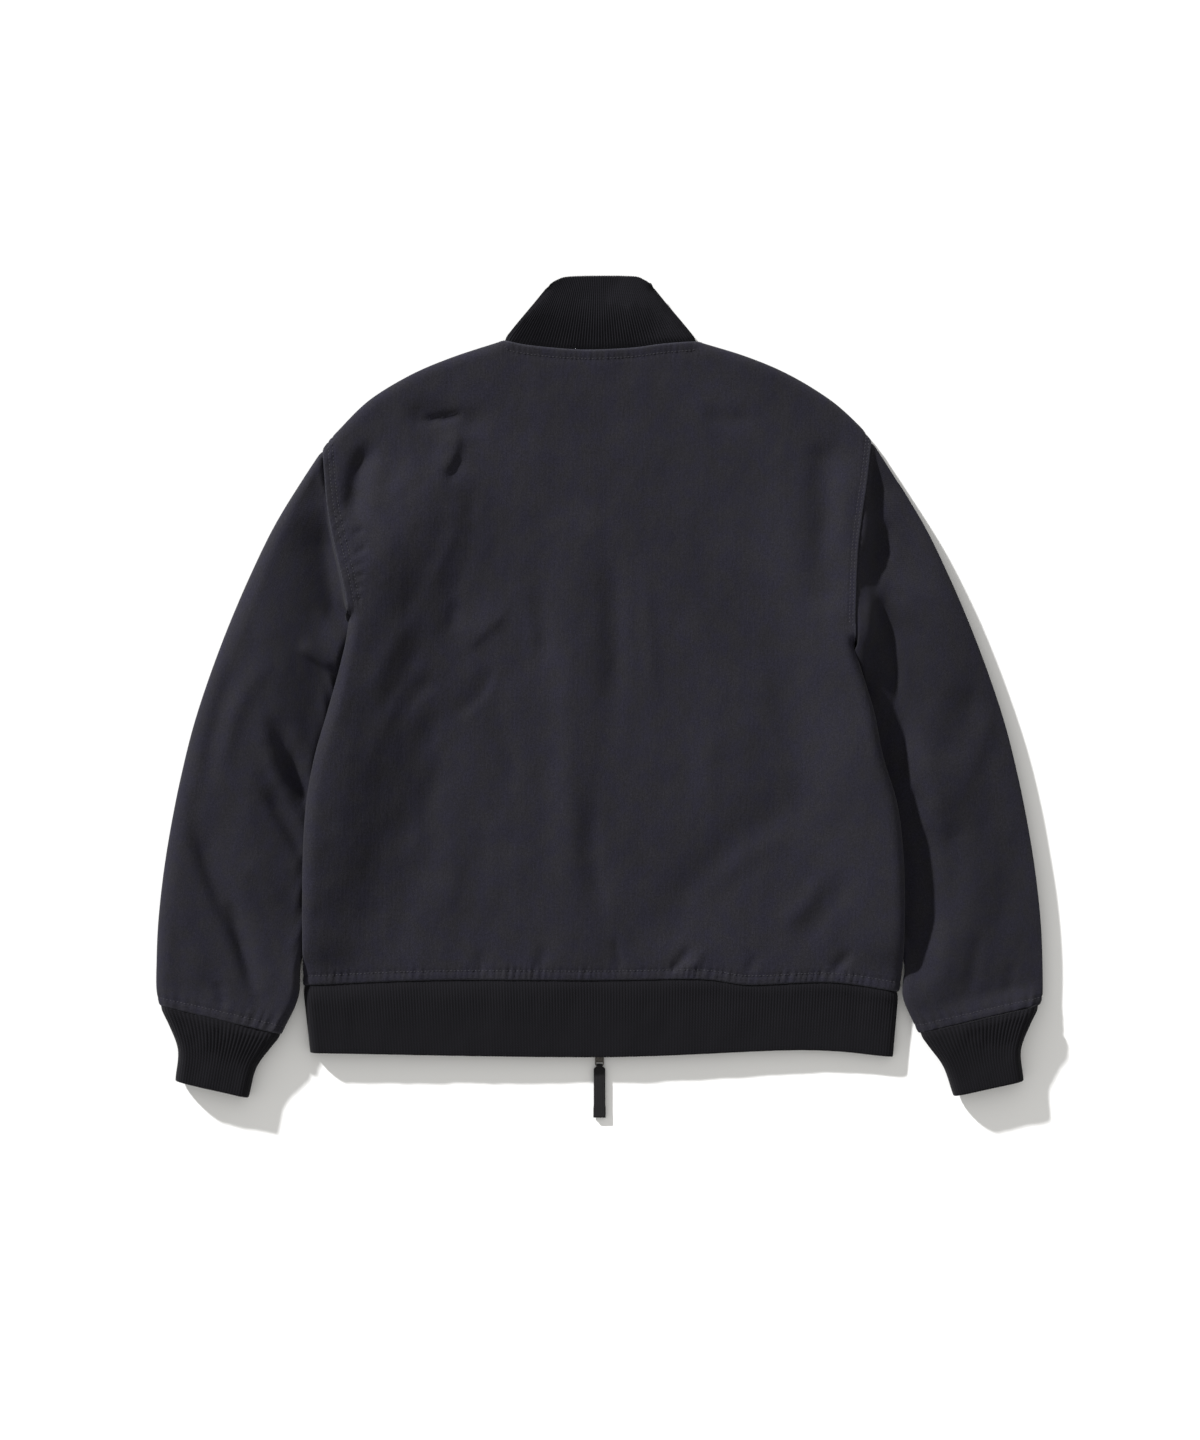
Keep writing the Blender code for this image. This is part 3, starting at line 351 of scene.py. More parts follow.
def distance_to(x, y, line):
    """How far points are from a broken line, seen from above."""
    nearest = np.full(np.shape(x), 1e9)
    for (ax, ay), (bx, by) in zip(line, line[1:]):
        dx = bx - ax
        dy = by - ay
        t = np.clip(((x - ax) * dx + (y - ay) * dy) / (dx * dx + dy * dy), 0, 1)
        nearest = np.minimum(nearest, np.hypot(x - ax - t * dx, y - ay - t * dy))
    return nearest


print("a shoulder is", round(lengths(curve(mirrored(SHOULDER[-1], -1), np.linspace(0, 1, 50)))[-1]), "mm")

# %% Edges of the body
EVEN = np.linspace(0, 1, 60)


def side_line(side, fractions=EVEN):
    """The side seam, from the hem up to the underarm."""
    y = np.linspace(HEM_END[side], UNDERARM[side], 80)
    return resample(np.stack([side * at(SIDE, SIDE_NAME[side], y), y], axis=1), fractions)


def armhole_line(side, fractions=EVEN):
    """From the underarm up to the shoulder tip."""
    return curve(mirrored(ARMHOLE[side], side), fractions)


def shoulder_line(side, fractions=EVEN):
    return curve(mirrored(SHOULDER[side], side), fractions)


def front_neck_line(side, fractions=EVEN):
    """From the neck end of the shoulder down to the zip."""
    return curve(np.vstack([mirrored(SHOULDER[side][-1:], side), mirrored(FRONT_NECK, side)]), fractions)


HEM = curve([side_line(-1)[0], *HEM_SEAM, side_line(1)[0]], np.linspace(0, 1, 300))


def on_line(line, x):
    """Points of a line that runs across the jacket, at these x."""
    return np.stack([x, np.interp(x, line[:, 0], line[:, 1])], axis=1)


print("side seams", [round(lengths(side_line(side))[-1]) for side in (-1, 1)], "mm")

# %% [markdown]
# ## Creases
# Worn cotton keeps long soft troughs and ridges where the jacket was folded, pressed and laid down.
# Sculpting would make them, but a table can be read: each row is a line of marks on the cloth, how
# wide the crease is to each side of it, and how far it rises (or sinks). A crease fades in and out
# along its line. Its two sides may differ, which makes one of them steep.

# %% Creases of the back
# columns: marks, half width on the left of the line, on its right, rise
BACK_CREASES = (
    # beside the left armhole and under the shoulder
    (((-215, 235), (-227, 220), (-233, 200), (-231, 172)), 7, 8, -2.6),
    (((-204, 232), (-214, 205), (-214, 170)), 10, 8, 0.9),
    (((-172, 262), (-150, 265), (-127, 269)), 3.4, 5, -1.9),
    (((-139, 256), (-137, 238), (-148, 208)), 6, 13, 1.8),
    (((-130, 230), (-138, 215), (-146, 204)), 7, 5, -1.5),
    (((-176, 224), (-184, 206), (-206, 184)), 9, 10, 0.6),
    (((-118, 282), (-84, 262), (-60, 236)), 10, 14, -0.7),
    (((-124, 200), (-121, 182), (-128, 166)), 7, 7, -0.7),
    # the border of the lifted left side, and the slope below it
    (((-144, 208), (-176, 178), (-208, 136), (-226, 84)), 34, 30, 2.3),
    (((-226, 60), (-240, -10), (-260, -100), (-266, -220)), 60, 14, 1.5),
    (((-132, 168), (-146, 138), (-162, 100)), 7, 9, 0.8),
    (((-120, 150), (-132, 120), (-146, 92)), 8, 9, -0.5),
    (((-160, 128), (-178, 96), (-196, 60)), 9, 10, -0.5),
    # left half, waist
    (((-88, 84), (-109, 64), (-132, 46)), 7, 24, 1.8),
    (((-134, 92), (-140, 74), (-138, 58)), 8, 6, -0.9),
    (((-100, 34), (-109, 8), (-125, -9), (-144, -20)), 5, 12, -1.3),
    (((-150, 15), (-166, 9), (-178, -4), (-184, -20)), 6, 11, -1.0),
    (((-152, -12), (-159, -34), (-170, -54)), 8, 12, -0.8),
    (((-176, 78), (-200, 40), (-224, -4)), 8, 9, 0.8),
    (((-166, 56), (-190, 14), (-212, -30)), 9, 9, -0.9),
    (((-186, 10), (-204, -26), (-222, -70)), 8, 10, 0.7),
    (((-140, -60), (-166, -100), (-196, -150)), 14, 16, -1.0),
    (((-178, -96), (-172, -130), (-184, -170)), 9, 10, 0.7),
    (((-96, -20), (-84, -60), (-92, -100)), 9, 9, -0.7),
    (((-60, 104), (-52, 60), (-56, 30)), 9, 10, -1.2),
    (((-150, -130), (-140, -165), (-146, -210)), 13, 15, 0.9),
    (((-190, -60), (-206, -120), (-214, -200)), 14, 18, -0.9),
    # short ticks beside the left armhole's topstitching
    (((-235, 157), (-230, 155), (-222, 160)), 2.6, 2.6, -0.9),
    (((-233, 138), (-228, 137), (-219, 143)), 2.6, 2.6, -1.0),
    (((-234, 126), (-228, 124), (-222, 128)), 2.4, 2.6, -0.8),
    (((-232, 116), (-227, 114), (-221, 117)), 2.4, 2.4, -0.8),
    (((-233, 105), (-228, 104), (-223, 106)), 2.4, 2.4, -0.7),
    (((-232, 94), (-228, 92), (-224, 94)), 2.4, 2.4, -0.8),
    # over the zip
    (((-36, 66), (-30, -40), (-28, -190)), 13, 12, 1.3),
    (((10, 138), (16, 40), (14, -20)), 10, 13, -1.9),
    (((-4, -80), (-6, -150), (4, -216)), 9, 12, -1.6),
    (((44, 120), (46, 60), (52, -10)), 9, 9, 0.7),
    # right half
    (((96, 270), (120, 262), (150, 266)), 9, 9, -0.9),
    (((206, 242), (214, 198), (209, 150), (201, 104)), 9, 15, -0.8),
    (((225, 228), (232, 184), (223, 122)), 9, 10, 0.6),
    (((176, 250), (171, 215), (177, 176)), 8, 10, 0.6),
    (((196, -92), (130, -138), (60, -206)), 15, 20, -1.1),
    (((186, -128), (140, -150), (96, -190)), 11, 14, 1.2),
    (((236, -172), (214, -206), (190, -236)), 10, 13, -1.2),
    (((214, -166), (196, -196), (170, -220)), 9, 9, 1.1),
    (((110, -20), (100, -70), (112, -120)), 12, 16, 0.8),
    # short ones at the hem
    (((88, -238), (76, -252), (66, -262)), 3.4, 5, -1.9),
    (((100, -240), (90, -253), (82, -263)), 5, 4, 1.1),
    (((240, -242), (228, -254), (220, -263)), 4, 6, -1.7),
    (((14, -228), (18, -248), (20, -262)), 4, 5, -1.2),
    (((-50, -236), (-56, -252), (-60, -262)), 6, 6, -1.0),
    (((-116, -244), (-112, -254), (-112, -262)), 6, 6, -0.7),
    (((150, -246), (144, -256), (142, -264)), 5, 6, -0.8),
)


SIDE_CHANGE = 3.0  # over this distance a crease goes from one half width to the other
CREASE_STEPS = 8  # straight steps of a crease's line


def creased(table, x, y):
    """The rise of all the creases of a table at points of the cloth."""
    total = np.zeros(np.shape(x))
    for marks, wide_left, wide_right, rise in table:
        line = curve(marks, np.linspace(0, 1, CREASE_STEPS + 1))
        nearest = np.full(np.shape(x), 1e9)
        place = np.zeros(np.shape(x))
        beside = np.zeros(np.shape(x))
        for i, ((ax, ay), (bx, by)) in enumerate(zip(line, line[1:])):
            dx = bx - ax
            dy = by - ay
            t = np.clip(((x - ax) * dx + (y - ay) * dy) / (dx * dx + dy * dy), 0, 1)
            away = np.hypot(x - ax - t * dx, y - ay - t * dy)
            closer = away < nearest
            nearest = np.where(closer, away, nearest)
            place = np.where(closer, (i + t) / CREASE_STEPS, place)
            beside = np.where(closer, (dx * (y - ay) - dy * (x - ax)) / math.hypot(dx, dy), beside)
        share = (1 + np.tanh(beside / SIDE_CHANGE)) / 2
        wide = wide_right + (wide_left - wide_right) * share
        fade = smooth(place / 0.3) * smooth((1 - place) / 0.3) * 0.85 + 0.15
        total += rise * fade * np.exp(-((nearest / wide) ** 2))
    return total


print(len(BACK_CREASES), "creases on the back")

# %% Small unevenness
BACK_DEPTH = 1.45  # every crease of the back's table is deepened by this factor
WAVES = (
    # rise, length across, length along
    (0.90, 50.0, 74.0),
    (0.62, 21.0, 33.0),
    (0.24, 10.0, 15.0),
    (0.075, 5.0, 7.5),
)


def uneven(x, y, seed):
    """Soft unevenness that no pressed cloth is without, longer along the threads than across."""
    total = np.zeros(x.size)
    flat_x = x.ravel()
    flat_y = y.ravel()
    for k, (rise, across, along) in enumerate(WAVES):
        z = seed + 7.3 * k
        total += [rise * noise.noise((a / across, b / along, z)) for a, b in zip(flat_x, flat_y)]
    return total.reshape(x.shape)


# %% The form that the body lies in


def folds_of(table, x, y):
    total = np.zeros(np.shape(x))
    for x0, y0, x1, y1, half_width, rise in table:
        total += rise * np.exp(-((distance_to(x, y, ((x0, y0), (x1, y1))) / half_width) ** 2))
    return total


def plateau(x, y):
    """Top of the back away from its edges."""
    rough = 1.05 - 0.18 * np.tanh((x + 40) / 90)  # the left half is more creased
    top = BODY_TOP + folds_of(BACK_FOLDS, x, y) + BACK_DEPTH * creased(BACK_CREASES, x, y)
    top = top + uneven(x, y, 1.0) * rough
    for side, name in SIDES:
        slope = (at(LIFT, name, y) + SLOPE_OUT - side * x) / SLOPE_WIDTH[side]
        top = top + at(LIFT, name + "_rise", y) * (1 - smooth(slope))
    return top


def sleeve_inner_x(side, y):
    place = SLEEVE["columns"].index("x_in_" + SIDE_NAME[side])
    rows = np.array(sorted((row[place + 1], row[place]) for row in SLEEVE["rows"]))
    inside = np.clip(y, rows[0, 0], rows[-1, 0])
    return through(rows[:, 1], rows[:, 0], inside)


def raised_floor(x, y):
    """Underside of the fronts: the surface, or the top of a tucked sleeve and some room."""
    floor_height = np.zeros(np.shape(x))
    for side in (-1, 1):
        over = 1 - smooth((sleeve_inner_x(side, y) - TUCK_MARGIN - side * x) / TUCK_SLOPE)
        over = over * (1 - smooth((y - UNDERARM[side] + TUCK_ABOVE[0]) / TUCK_ABOVE[1]))
        over = over * smooth((y - TUCK_HEM[0]) / TUCK_HEM[1])
        floor_height = np.maximum(floor_height, (TUCK_TOP + TUCK_ROOM) * over)
    return floor_height


# columns as for the back: creases in which the fronts lift off the surface
FRONT_CREASES = (
    (((-150, 180), (-120, 120), (-130, 60)), 9, 12, 2.6),
    (((-60, 200), (-70, 120), (-58, 40)), 8, 10, 1.8),
    (((-190, -20), (-140, -60), (-80, -66)), 10, 12, 2.2),
    (((-110, -120), (-90, -180), (-98, -236)), 8, 9, 1.9),
    (((-50, -150), (-44, -200), (-52, -250)), 6, 7, 1.4),
    (((150, 190), (130, 130), (142, 80)), 9, 11, 2.4),
    (((70, 180), (60, 110), (70, 30)), 8, 9, 1.7),
    (((180, -50), (130, -84), (76, -80)), 10, 12, 2.2),
    (((120, -130), (104, -190), (112, -244)), 8, 9, 1.8),
    (((46, -160), (52, -206), (44, -252)), 6, 7, 1.3),
)


def body_heights(x, y):
    """Top and bottom of the body at points seen from above."""
    from_side = np.minimum(*[distance_to(x, y, side_line(side)) for side in (-1, 1)])
    from_shoulder = np.minimum(*[distance_to(x, y, shoulder_line(side)) for side in (-1, 1)])
    rise = roll(from_side, SIDE_ROLL) * roll(from_shoulder, SHOULDER_ROLL)
    high = plateau(x, y)
    low_form = raised_floor(x, y)
    middle = (high + low_form) / 2
    lifted = np.maximum(creased(FRONT_CREASES, x, y) + uneven(x, y, 40.0), 0)
    return middle + (high - middle) * rise, middle - (middle - low_form - lifted) * rise


# %% [markdown]
# ## A sheet of cloth
# Every panel and sleeve starts as a flat grid of squares. Its points are moved to their places on the
# form, a tube's two long edges are sewn together by merging their points, and the Solidify modifier
# gives the cloth its thickness, inwards, so the outer face stays where the pattern put it.
# The UV map holds metres of cloth, so that the weave keeps its scale and follows the grain.

# %% Grids that become cloth
CLOTH = 1.5  # thickness of the shell cloth
UP = np.array([0.0, 0.0, 1.0])
RESTING = 0.02  # the lowest that the outer face of a piece lies above the surface


def directions(grid, ring, outward):
    """Unit directions square to a grid of points, on the side of the given direction or point."""
    if ring:
        around = np.roll(grid[:, :-1], -1, axis=1) - np.roll(grid[:, :-1], 1, axis=1)
        around = np.concatenate([around, around[:, :1]], axis=1)
        away = grid - grid[:, :-1].mean(axis=1, keepdims=True)
    else:
        around = np.gradient(grid, axis=1)
        away = np.broadcast_to(outward, grid.shape)
    square = np.cross(around, np.gradient(grid, axis=0))
    square /= np.maximum(np.linalg.norm(square, axis=2, keepdims=True), 1e-9)
    return square * np.sign((square * away).sum())


def grid_mesh(name, grid, uv, ring=False, wear_and_highlight=None):
    """A mesh of squares on a grid of points, in metres, with its UV map."""
    rows, columns = grid.shape[:2]
    bm = bmesh.new()
    bm.loops.layers.uv.new("grain")
    bmesh.ops.create_grid(bm, x_segments=columns - 1, y_segments=rows - 1, size=1, calc_uvs=True)
    mesh = mesh_of(bm, name)
    mesh.vertices.foreach_set("co", (grid * MM).astype(np.float32).ravel())
    corners = np.zeros(len(mesh.loops), np.int32)
    mesh.loops.foreach_get("vertex_index", corners)
    mesh.uv_layers["grain"].data.foreach_set("uv", uv.reshape(-1, 2)[corners].astype(np.float32).ravel())
    if wear_and_highlight is not None:
        layer = mesh.attributes.new("seam_wear_and_highlight", "FLOAT", "POINT")
        layer.data.foreach_set("value", wear_and_highlight.astype(np.float32).ravel())
    if ring:
        sew(mesh)
    return mesh


def sew(mesh, outwards=True):
    """Merges the points that lie on each other, and turns the faces outwards."""
    bm = bmesh.new()
    bm.from_mesh(mesh)
    bmesh.ops.remove_doubles(bm, verts=bm.verts[:], dist=0.0005 * MM)
    if outwards:
        bmesh.ops.recalc_face_normals(bm, faces=bm.faces[:])
    bm.to_mesh(mesh)
    bm.free()


def turn_towards(mesh, outward):
    """Flips an open sheet whose faces point the wrong way."""
    total = Vector((0, 0, 0))
    for face in mesh.polygons:
        total += face.normal * face.area
    if total.dot(Vector(outward)) < 0:
        mesh.flip_normals()


def cloth_piece(name, mesh, material, body="jacket", thickness=CLOTH):
    """An object of shell cloth: smooth, with its thickness inside its outer face."""
    mesh.shade_smooth()
    mesh.materials.append(material)
    piece = add_object(name, mesh)
    if thickness:
        wall = piece.modifiers.new("thickness", "SOLIDIFY")
        wall.thickness = thickness * MM
        wall.offset = -1
    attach(piece, body)
    return piece


# %% [markdown]
# ## What a seam does to the cloth
# At each seam the shell cloth is turned under, so its edge is round and stands a little higher than
# the piece that it is sewn to. A row of topstitching holds the turned edge down: the cloth sinks at
# the stitches, swells between them and the seam, and puckers along the row because the thread draws
# it in. All of this is an offset along the cloth's own direction, worked out from how far a point is
# from the seam and how far along it.

# %% Seams, topstitching and puckers


def from_edge(grid, edge):
    """For each point: how far in it is from an edge of its grid, and how far along that edge."""
    turned = {"bottom": grid, "top": grid[::-1], "left": grid.transpose(1, 0, 2),
              "right": grid[:, ::-1].transpose(1, 0, 2)}[edge]
    steps = np.linalg.norm(np.diff(turned, axis=0), axis=2)
    inwards = np.vstack([np.zeros((1, turned.shape[1])), np.cumsum(steps, axis=0)])
    along = np.broadcast_to(lengths(turned[0]), inwards.shape)
    if edge == "top":
        return inwards[::-1], along[::-1]
    if edge == "left":
        return inwards.T, along.T
    if edge == "right":
        return inwards.T[:, ::-1], along.T[:, ::-1]
    return inwards, along


def wander(along, length, seed):
    """A smooth random number from -1 to 1 along a line."""
    values, place = np.unique(np.round(along, 2), return_inverse=True)
    made = np.array([noise.noise((a / length, seed, 0.5)) for a in values])
    return 1.6 * made[place].reshape(along.shape)


def sewn_edge(grid, edge, seed, stitches=(9.0,), drop=0.9, swell=0.22, sink=0.6, pucker=0.85,
              pitch=6.2, reach=0.8, where=1.0, turn=0.7):
    """The offset of cloth beside a seam, positive outwards."""
    inwards, along = from_edge(grid, edge)
    offset = -drop * np.exp(-((inwards / turn) ** 2))
    last = stitches[-1]
    offset += swell * np.exp(-(((inwards - last * 0.45) / (last * 0.38)) ** 2))
    for row in stitches:
        offset -= sink * np.exp(-(((inwards - row) / 1.3) ** 2))
    strength = 0.35 + 0.65 * smooth(0.5 + 0.9 * wander(along, 31.0, seed + 0.7))
    wave = np.sin(2 * math.pi * along / pitch + 2.4 * wander(along, 13.0, seed))
    window = np.exp(-(((inwards - last * 0.75) / (last * 0.75 * reach)) ** 2)) * smooth(inwards / 1.5)
    return (offset + pucker * strength * wave * window) * where


def seam_wear_and_highlight(grid, edges):
    """1 on the given edges, fading inwards: where rubbing has faded the cloth, and a painted highlight where
    the turned edges catch the light.
    """
    wear_and_highlight = np.zeros(grid.shape[:2])
    for edge in edges:
        wear_and_highlight = np.maximum(wear_and_highlight, np.exp(-((from_edge(grid, edge)[0] / 1.6) ** 2)))
    return wear_and_highlight


def row_beside(grid, edge, inset, outwards):
    """The line at one distance inside an edge, with the cloth's direction at each of its points."""
    inwards, _ = from_edge(grid, edge)
    if edge in ("bottom", "top"):
        columns = [(inwards[:, k], grid[:, k], outwards[:, k]) for k in range(grid.shape[1])]
    else:
        columns = [(inwards[k], grid[k], outwards[k]) for k in range(grid.shape[0])]
    points = []
    for far, line, square in columns:
        order = np.argsort(far, kind="stable")
        here = [np.interp(inset, far[order], line[order, k]) for k in range(3)]
        here += [np.interp(inset, far[order], square[order, k]) for k in range(3)]
        points.append(here)
    return np.array(points)


# %% [markdown]
# ## The finishes
# The shell is a washed cotton, dark navy over charcoal, with fine ridges that run along the threads.
# Two noises mix the two colours in soft patches, a third one stretched along the grain draws the
# ridges, and a fine weave goes into the bump. Everything reads the grain UV map, in metres.
# The right sleeve's cloth is painted darker than the rest, as painted shade for the shade that lies on it, so
# it has a material of its own.

# %% Helpers for materials


def node(tree, kind, inputs=None, **settings):
    """Adds a node. Inputs are values, or the sockets that feed them."""
    made = tree.nodes.new("ShaderNode" + kind)
    for name, value in settings.items():
        setattr(made, name, value)
    for name, value in (inputs or {}).items():
        if isinstance(value, bpy.types.NodeSocket):
            tree.links.new(value, made.inputs[name])
        else:
            made.inputs[name].default_value = value
    return made


def maths(tree, operation, a, b=0.0):
    return node(tree, "Math", {0: a, 1: b}, operation=operation).outputs[0]


def grain_places(tree, across, along):
    """The grain UV map, stretched: so many units to a metre across and along the threads."""
    uv = node(tree, "UVMap", uv_map="grain").outputs["UV"]
    return node(tree, "Mapping", {"Vector": uv, "Scale": (across, along, 1)}).outputs["Vector"]


def noise_of(tree, vector, detail=2.0, rough=0.5):
    made = node(tree, "TexNoise", {"Vector": vector, "Scale": 1.0, "Detail": detail, "Roughness": rough})
    return made.outputs["Fac"]


def wave_of(tree, scale, direction, distortion=0.0):
    """Even stripes over the grain UV map."""
    made = node(tree, "TexWave", {"Vector": grain_places(tree, 1, 1), "Scale": scale,
                                  "Distortion": distortion}, bands_direction=direction)
    return made.outputs["Fac"]


def object_noise(tree, scale, detail=2.0):
    """Noise over the piece itself, for what has no grain."""
    places = node(tree, "TexCoord").outputs["Object"]
    return noise_of(tree, node(tree, "Mapping", {"Vector": places, "Scale": scale}).outputs[0], detail)


def ranged(tree, value, low, high, to_low, to_high):
    made = node(tree, "MapRange", {"Value": value, "From Min": low, "From Max": high,
                                   "To Min": to_low, "To Max": to_high})
    return made.outputs["Result"]


def mixed(tree, share, first, second, blend="MIX"):
    made = node(tree, "Mix", data_type="RGBA", blend_type=blend)
    for place, value in ((0, share), (6, first), (7, second)):
        if isinstance(value, bpy.types.NodeSocket):
            tree.links.new(value, made.inputs[place])
        else:
            made.inputs[place].default_value = value
    return made.outputs[2]


def bumped(tree, shader, height, distance):
    bump = node(tree, "Bump", {"Height": height, "Strength": 1.0, "Distance": distance})
    tree.links.new(bump.outputs["Normal"], shader.inputs["Normal"])


# %% Washed navy cotton
CHARCOAL = (0.0152, 0.0145, 0.0190)
NAVY = (0.0139, 0.0132, 0.0215)
# the lighter colour of the seams: partly real wear, partly a painted highlight on the turned edges
RUBBED_AND_HIGHLIGHT = (0.040, 0.040, 0.051)


def washed_cotton(name, painted_shade=1.0):
    made, shader = plain_material(name, CHARCOAL, 0.88, 0.12)
    shader.inputs["Sheen Weight"].default_value = 0.04
    shader.inputs["Sheen Roughness"].default_value = 0.5
    tree = made.node_tree
    patches = noise_of(tree, grain_places(tree, 60, 50), 3.0, 0.6)
    colour = mixed(tree, ranged(tree, patches, 0.40, 0.62, 0.0, 1.0), (*CHARCOAL, 1), (*NAVY, 1))
    ridges = noise_of(tree, grain_places(tree, 480, 110), 2.0, 0.6)
    # the last argument darkens the whole cloth evenly: below 1 it is painted shade
    shade = ranged(tree, ridges, 0.3, 0.7, 0.88 * painted_shade, 1.12 * painted_shade)
    flecks = noise_of(tree, grain_places(tree, 900, 720), 2.0, 0.6)
    shade = maths(tree, "MULTIPLY", shade, ranged(tree, flecks, 0.3, 0.7, 0.66, 1.34))
    slubs = noise_of(tree, grain_places(tree, 380, 330), 2.0, 0.6)
    shade = maths(tree, "MULTIPLY", shade, ranged(tree, slubs, 0.3, 0.7, 0.88, 1.12))
    faded = noise_of(tree, grain_places(tree, 14, 11), 2.0, 0.5)
    shade = maths(tree, "MULTIPLY", shade, ranged(tree, faded, 0.35, 0.65, 0.92, 1.08))
    grey = node(tree, "CombineColor", {"Red": shade, "Green": shade, "Blue": shade}).outputs[0]
    colour = mixed(tree, 1.0, colour, grey, "MULTIPLY")
    # seams painted lighter: partly real wear, partly a painted highlight where the turned edges catch the
    # light
    worn_and_lit = node(tree, "Attribute", attribute_name="seam_wear_and_highlight").outputs["Fac"]
    worn_and_lit = maths(tree, "MULTIPLY", worn_and_lit, ranged(tree, flecks, 0.35, 0.6, 0.15, 0.75))
    colour = mixed(tree, worn_and_lit, colour, (*RUBBED_AND_HIGHLIGHT, 1))
    tree.links.new(colour, shader.inputs["Base Color"])
    tree.links.new(ranged(tree, ridges, 0.3, 0.7, 0.82, 0.94), shader.inputs["Roughness"])
    warp = wave_of(tree, 260.0, "X")
    twill = wave_of(tree, 330.0, "DIAGONAL")
    height = maths(tree, "ADD", maths(tree, "MULTIPLY", warp, 0.25), maths(tree, "MULTIPLY", twill, 0.25))
    height = maths(tree, "ADD", height, ridges)
    bumped(tree, shader, height, 0.00022)
    return made


cotton = washed_cotton("washed_navy_cotton")
PAINTED_SHADE_RIGHT_SLEEVE = 0.84  # brightness of the right sleeve's cloth against the rest: painted shade
sleeve_cotton = {-1: cotton, 1: washed_cotton("navy_cotton_painted_shade", PAINTED_SHADE_RIGHT_SLEEVE)}
print("finish:", cotton.name, sleeve_cotton[1].name)

# %% [markdown]
# The collar, cuffs and hem band are a tight rib knit. Its ribs are real geometry, made below; what is
# left for the finish is the knit itself: on each rib the loops of yarn stack up as small V shapes.
# The UV map of a rib piece counts ribs across and rows of loops along.

# %% Near-black rib knit
YARN = (0.0101, 0.0097, 0.0126)
# the darker colour that paints shade into the knit's hollows
YARN_PAINTED_SHADE = (0.0050, 0.0048, 0.0060)
COLLAR_YARN = (0.0176, 0.0169, 0.0224)  # the collar is more washed out than the other two bands


def rib_knit(name, yarn):
    made, shader = plain_material(name, yarn, 0.92, 0.10)
    shader.inputs["Sheen Weight"].default_value = 0.05
    shader.inputs["Sheen Roughness"].default_value = 0.4
    tree = made.node_tree
    places = node(tree, "SeparateXYZ", {"Vector": grain_places(tree, 1, 1)}).outputs
    rib = maths(tree, "FRACT", places["X"])
    lean = maths(tree, "ABSOLUTE", maths(tree, "SUBTRACT", rib, 0.5))
    loops = maths(tree, "ADD", places["Y"], maths(tree, "MULTIPLY", lean, 1.6))
    loops = maths(tree, "SINE", maths(tree, "MULTIPLY", loops, 2 * math.pi))
    crown = maths(tree, "SUBTRACT", 1.0, maths(tree, "MULTIPLY", lean, 2.0))
    fuzz = noise_of(tree, grain_places(tree, 2.3, 1.1), 2.0, 0.6)
    share = maths(tree, "MULTIPLY", crown, ranged(tree, fuzz, 0.3, 0.7, 0.7, 1.15))
    share = maths(tree, "MULTIPLY", share, ranged(tree, loops, -1, 1, 0.75, 1.05))
    # painted shade: in the UV map each rib's yarn darkens towards its two edges and between its rows of
    # loops, as the knit's hollows would be shaded; the fuzz is random tone
    colour = mixed(tree, share, (*YARN_PAINTED_SHADE, 1), (*yarn, 1))
    tree.links.new(colour, shader.inputs["Base Color"])
    height = maths(tree, "ADD", maths(tree, "MULTIPLY", loops, 0.35), fuzz)
    bumped(tree, shader, height, 0.0003)
    return made


knit = rib_knit("black_rib_knit", YARN)
collar_rib = rib_knit("washed_rib_knit", COLLAR_YARN)
print("finish:", knit.name, collar_rib.name)

# %% [markdown]
# ## The back
# One panel from hem to collar, the piece that the photograph shows. Its grid is fine everywhere, and
# finer still beside its seams and where it rolls over the sides and shoulders.

# %% Cut the back
ROLLED = (0, 0.15, 0.5, 1.1, 2.0, 3.2, 4.7, 6.5, 8.5, 10.5)
SEWN = (0, 0.6, 1.4, 2.6, 4.0, 5.6, 7.4, 9.2, 11.0, 13.5)
NECK_OUT = 94.0  # the columns between these run from the hem up to the neck


def outer_edge(side, side_count, arm_count):
    """The outer edge of a body panel, from the hem to the shoulder tip."""
    below = side_line(side, stops(lengths(side_line(side))[-1], SEWN, (0,), side_count))
    above = armhole_line(side, stops(lengths(armhole_line(side))[-1], (0,), ROLLED, arm_count))
    return np.vstack([below, above[1:]])


def back_plan(side_count=80, arm_count=56, shoulder_count=92, neck_count=112):
    """The back seen from above, and how many of its columns lie under each shoulder."""
    left, right = (outer_edge(side, side_count, arm_count) for side in (-1, 1))
    half = stops(lengths(shoulder_line(-1))[-1], ROLLED, (0,), shoulder_count)
    middle = np.linspace(0, 1, neck_count + 1)
    top = np.vstack([shoulder_line(-1, half), curve(BACK_NECK, middle)[1:-1], shoulder_line(1, half)[::-1]])
    x_left = left[0, 0] + (-NECK_OUT - left[0, 0]) * half
    x_right = right[0, 0] + (NECK_OUT - right[0, 0]) * half
    x = np.concatenate([x_left, (-NECK_OUT + 2 * NECK_OUT * middle)[1:-1], x_right[::-1]])
    return panel(on_line(HEM, x), top, left, right), len(half)


def inside(plan, columns):
    """1 in the middle columns of a grid, 0 in as many at each side, with a soft change."""
    place = np.arange(plan.shape[1])
    last = plan.shape[1] - 1
    return smooth((np.minimum(place, last - place) - columns + 4) / 4.0)[None, :]


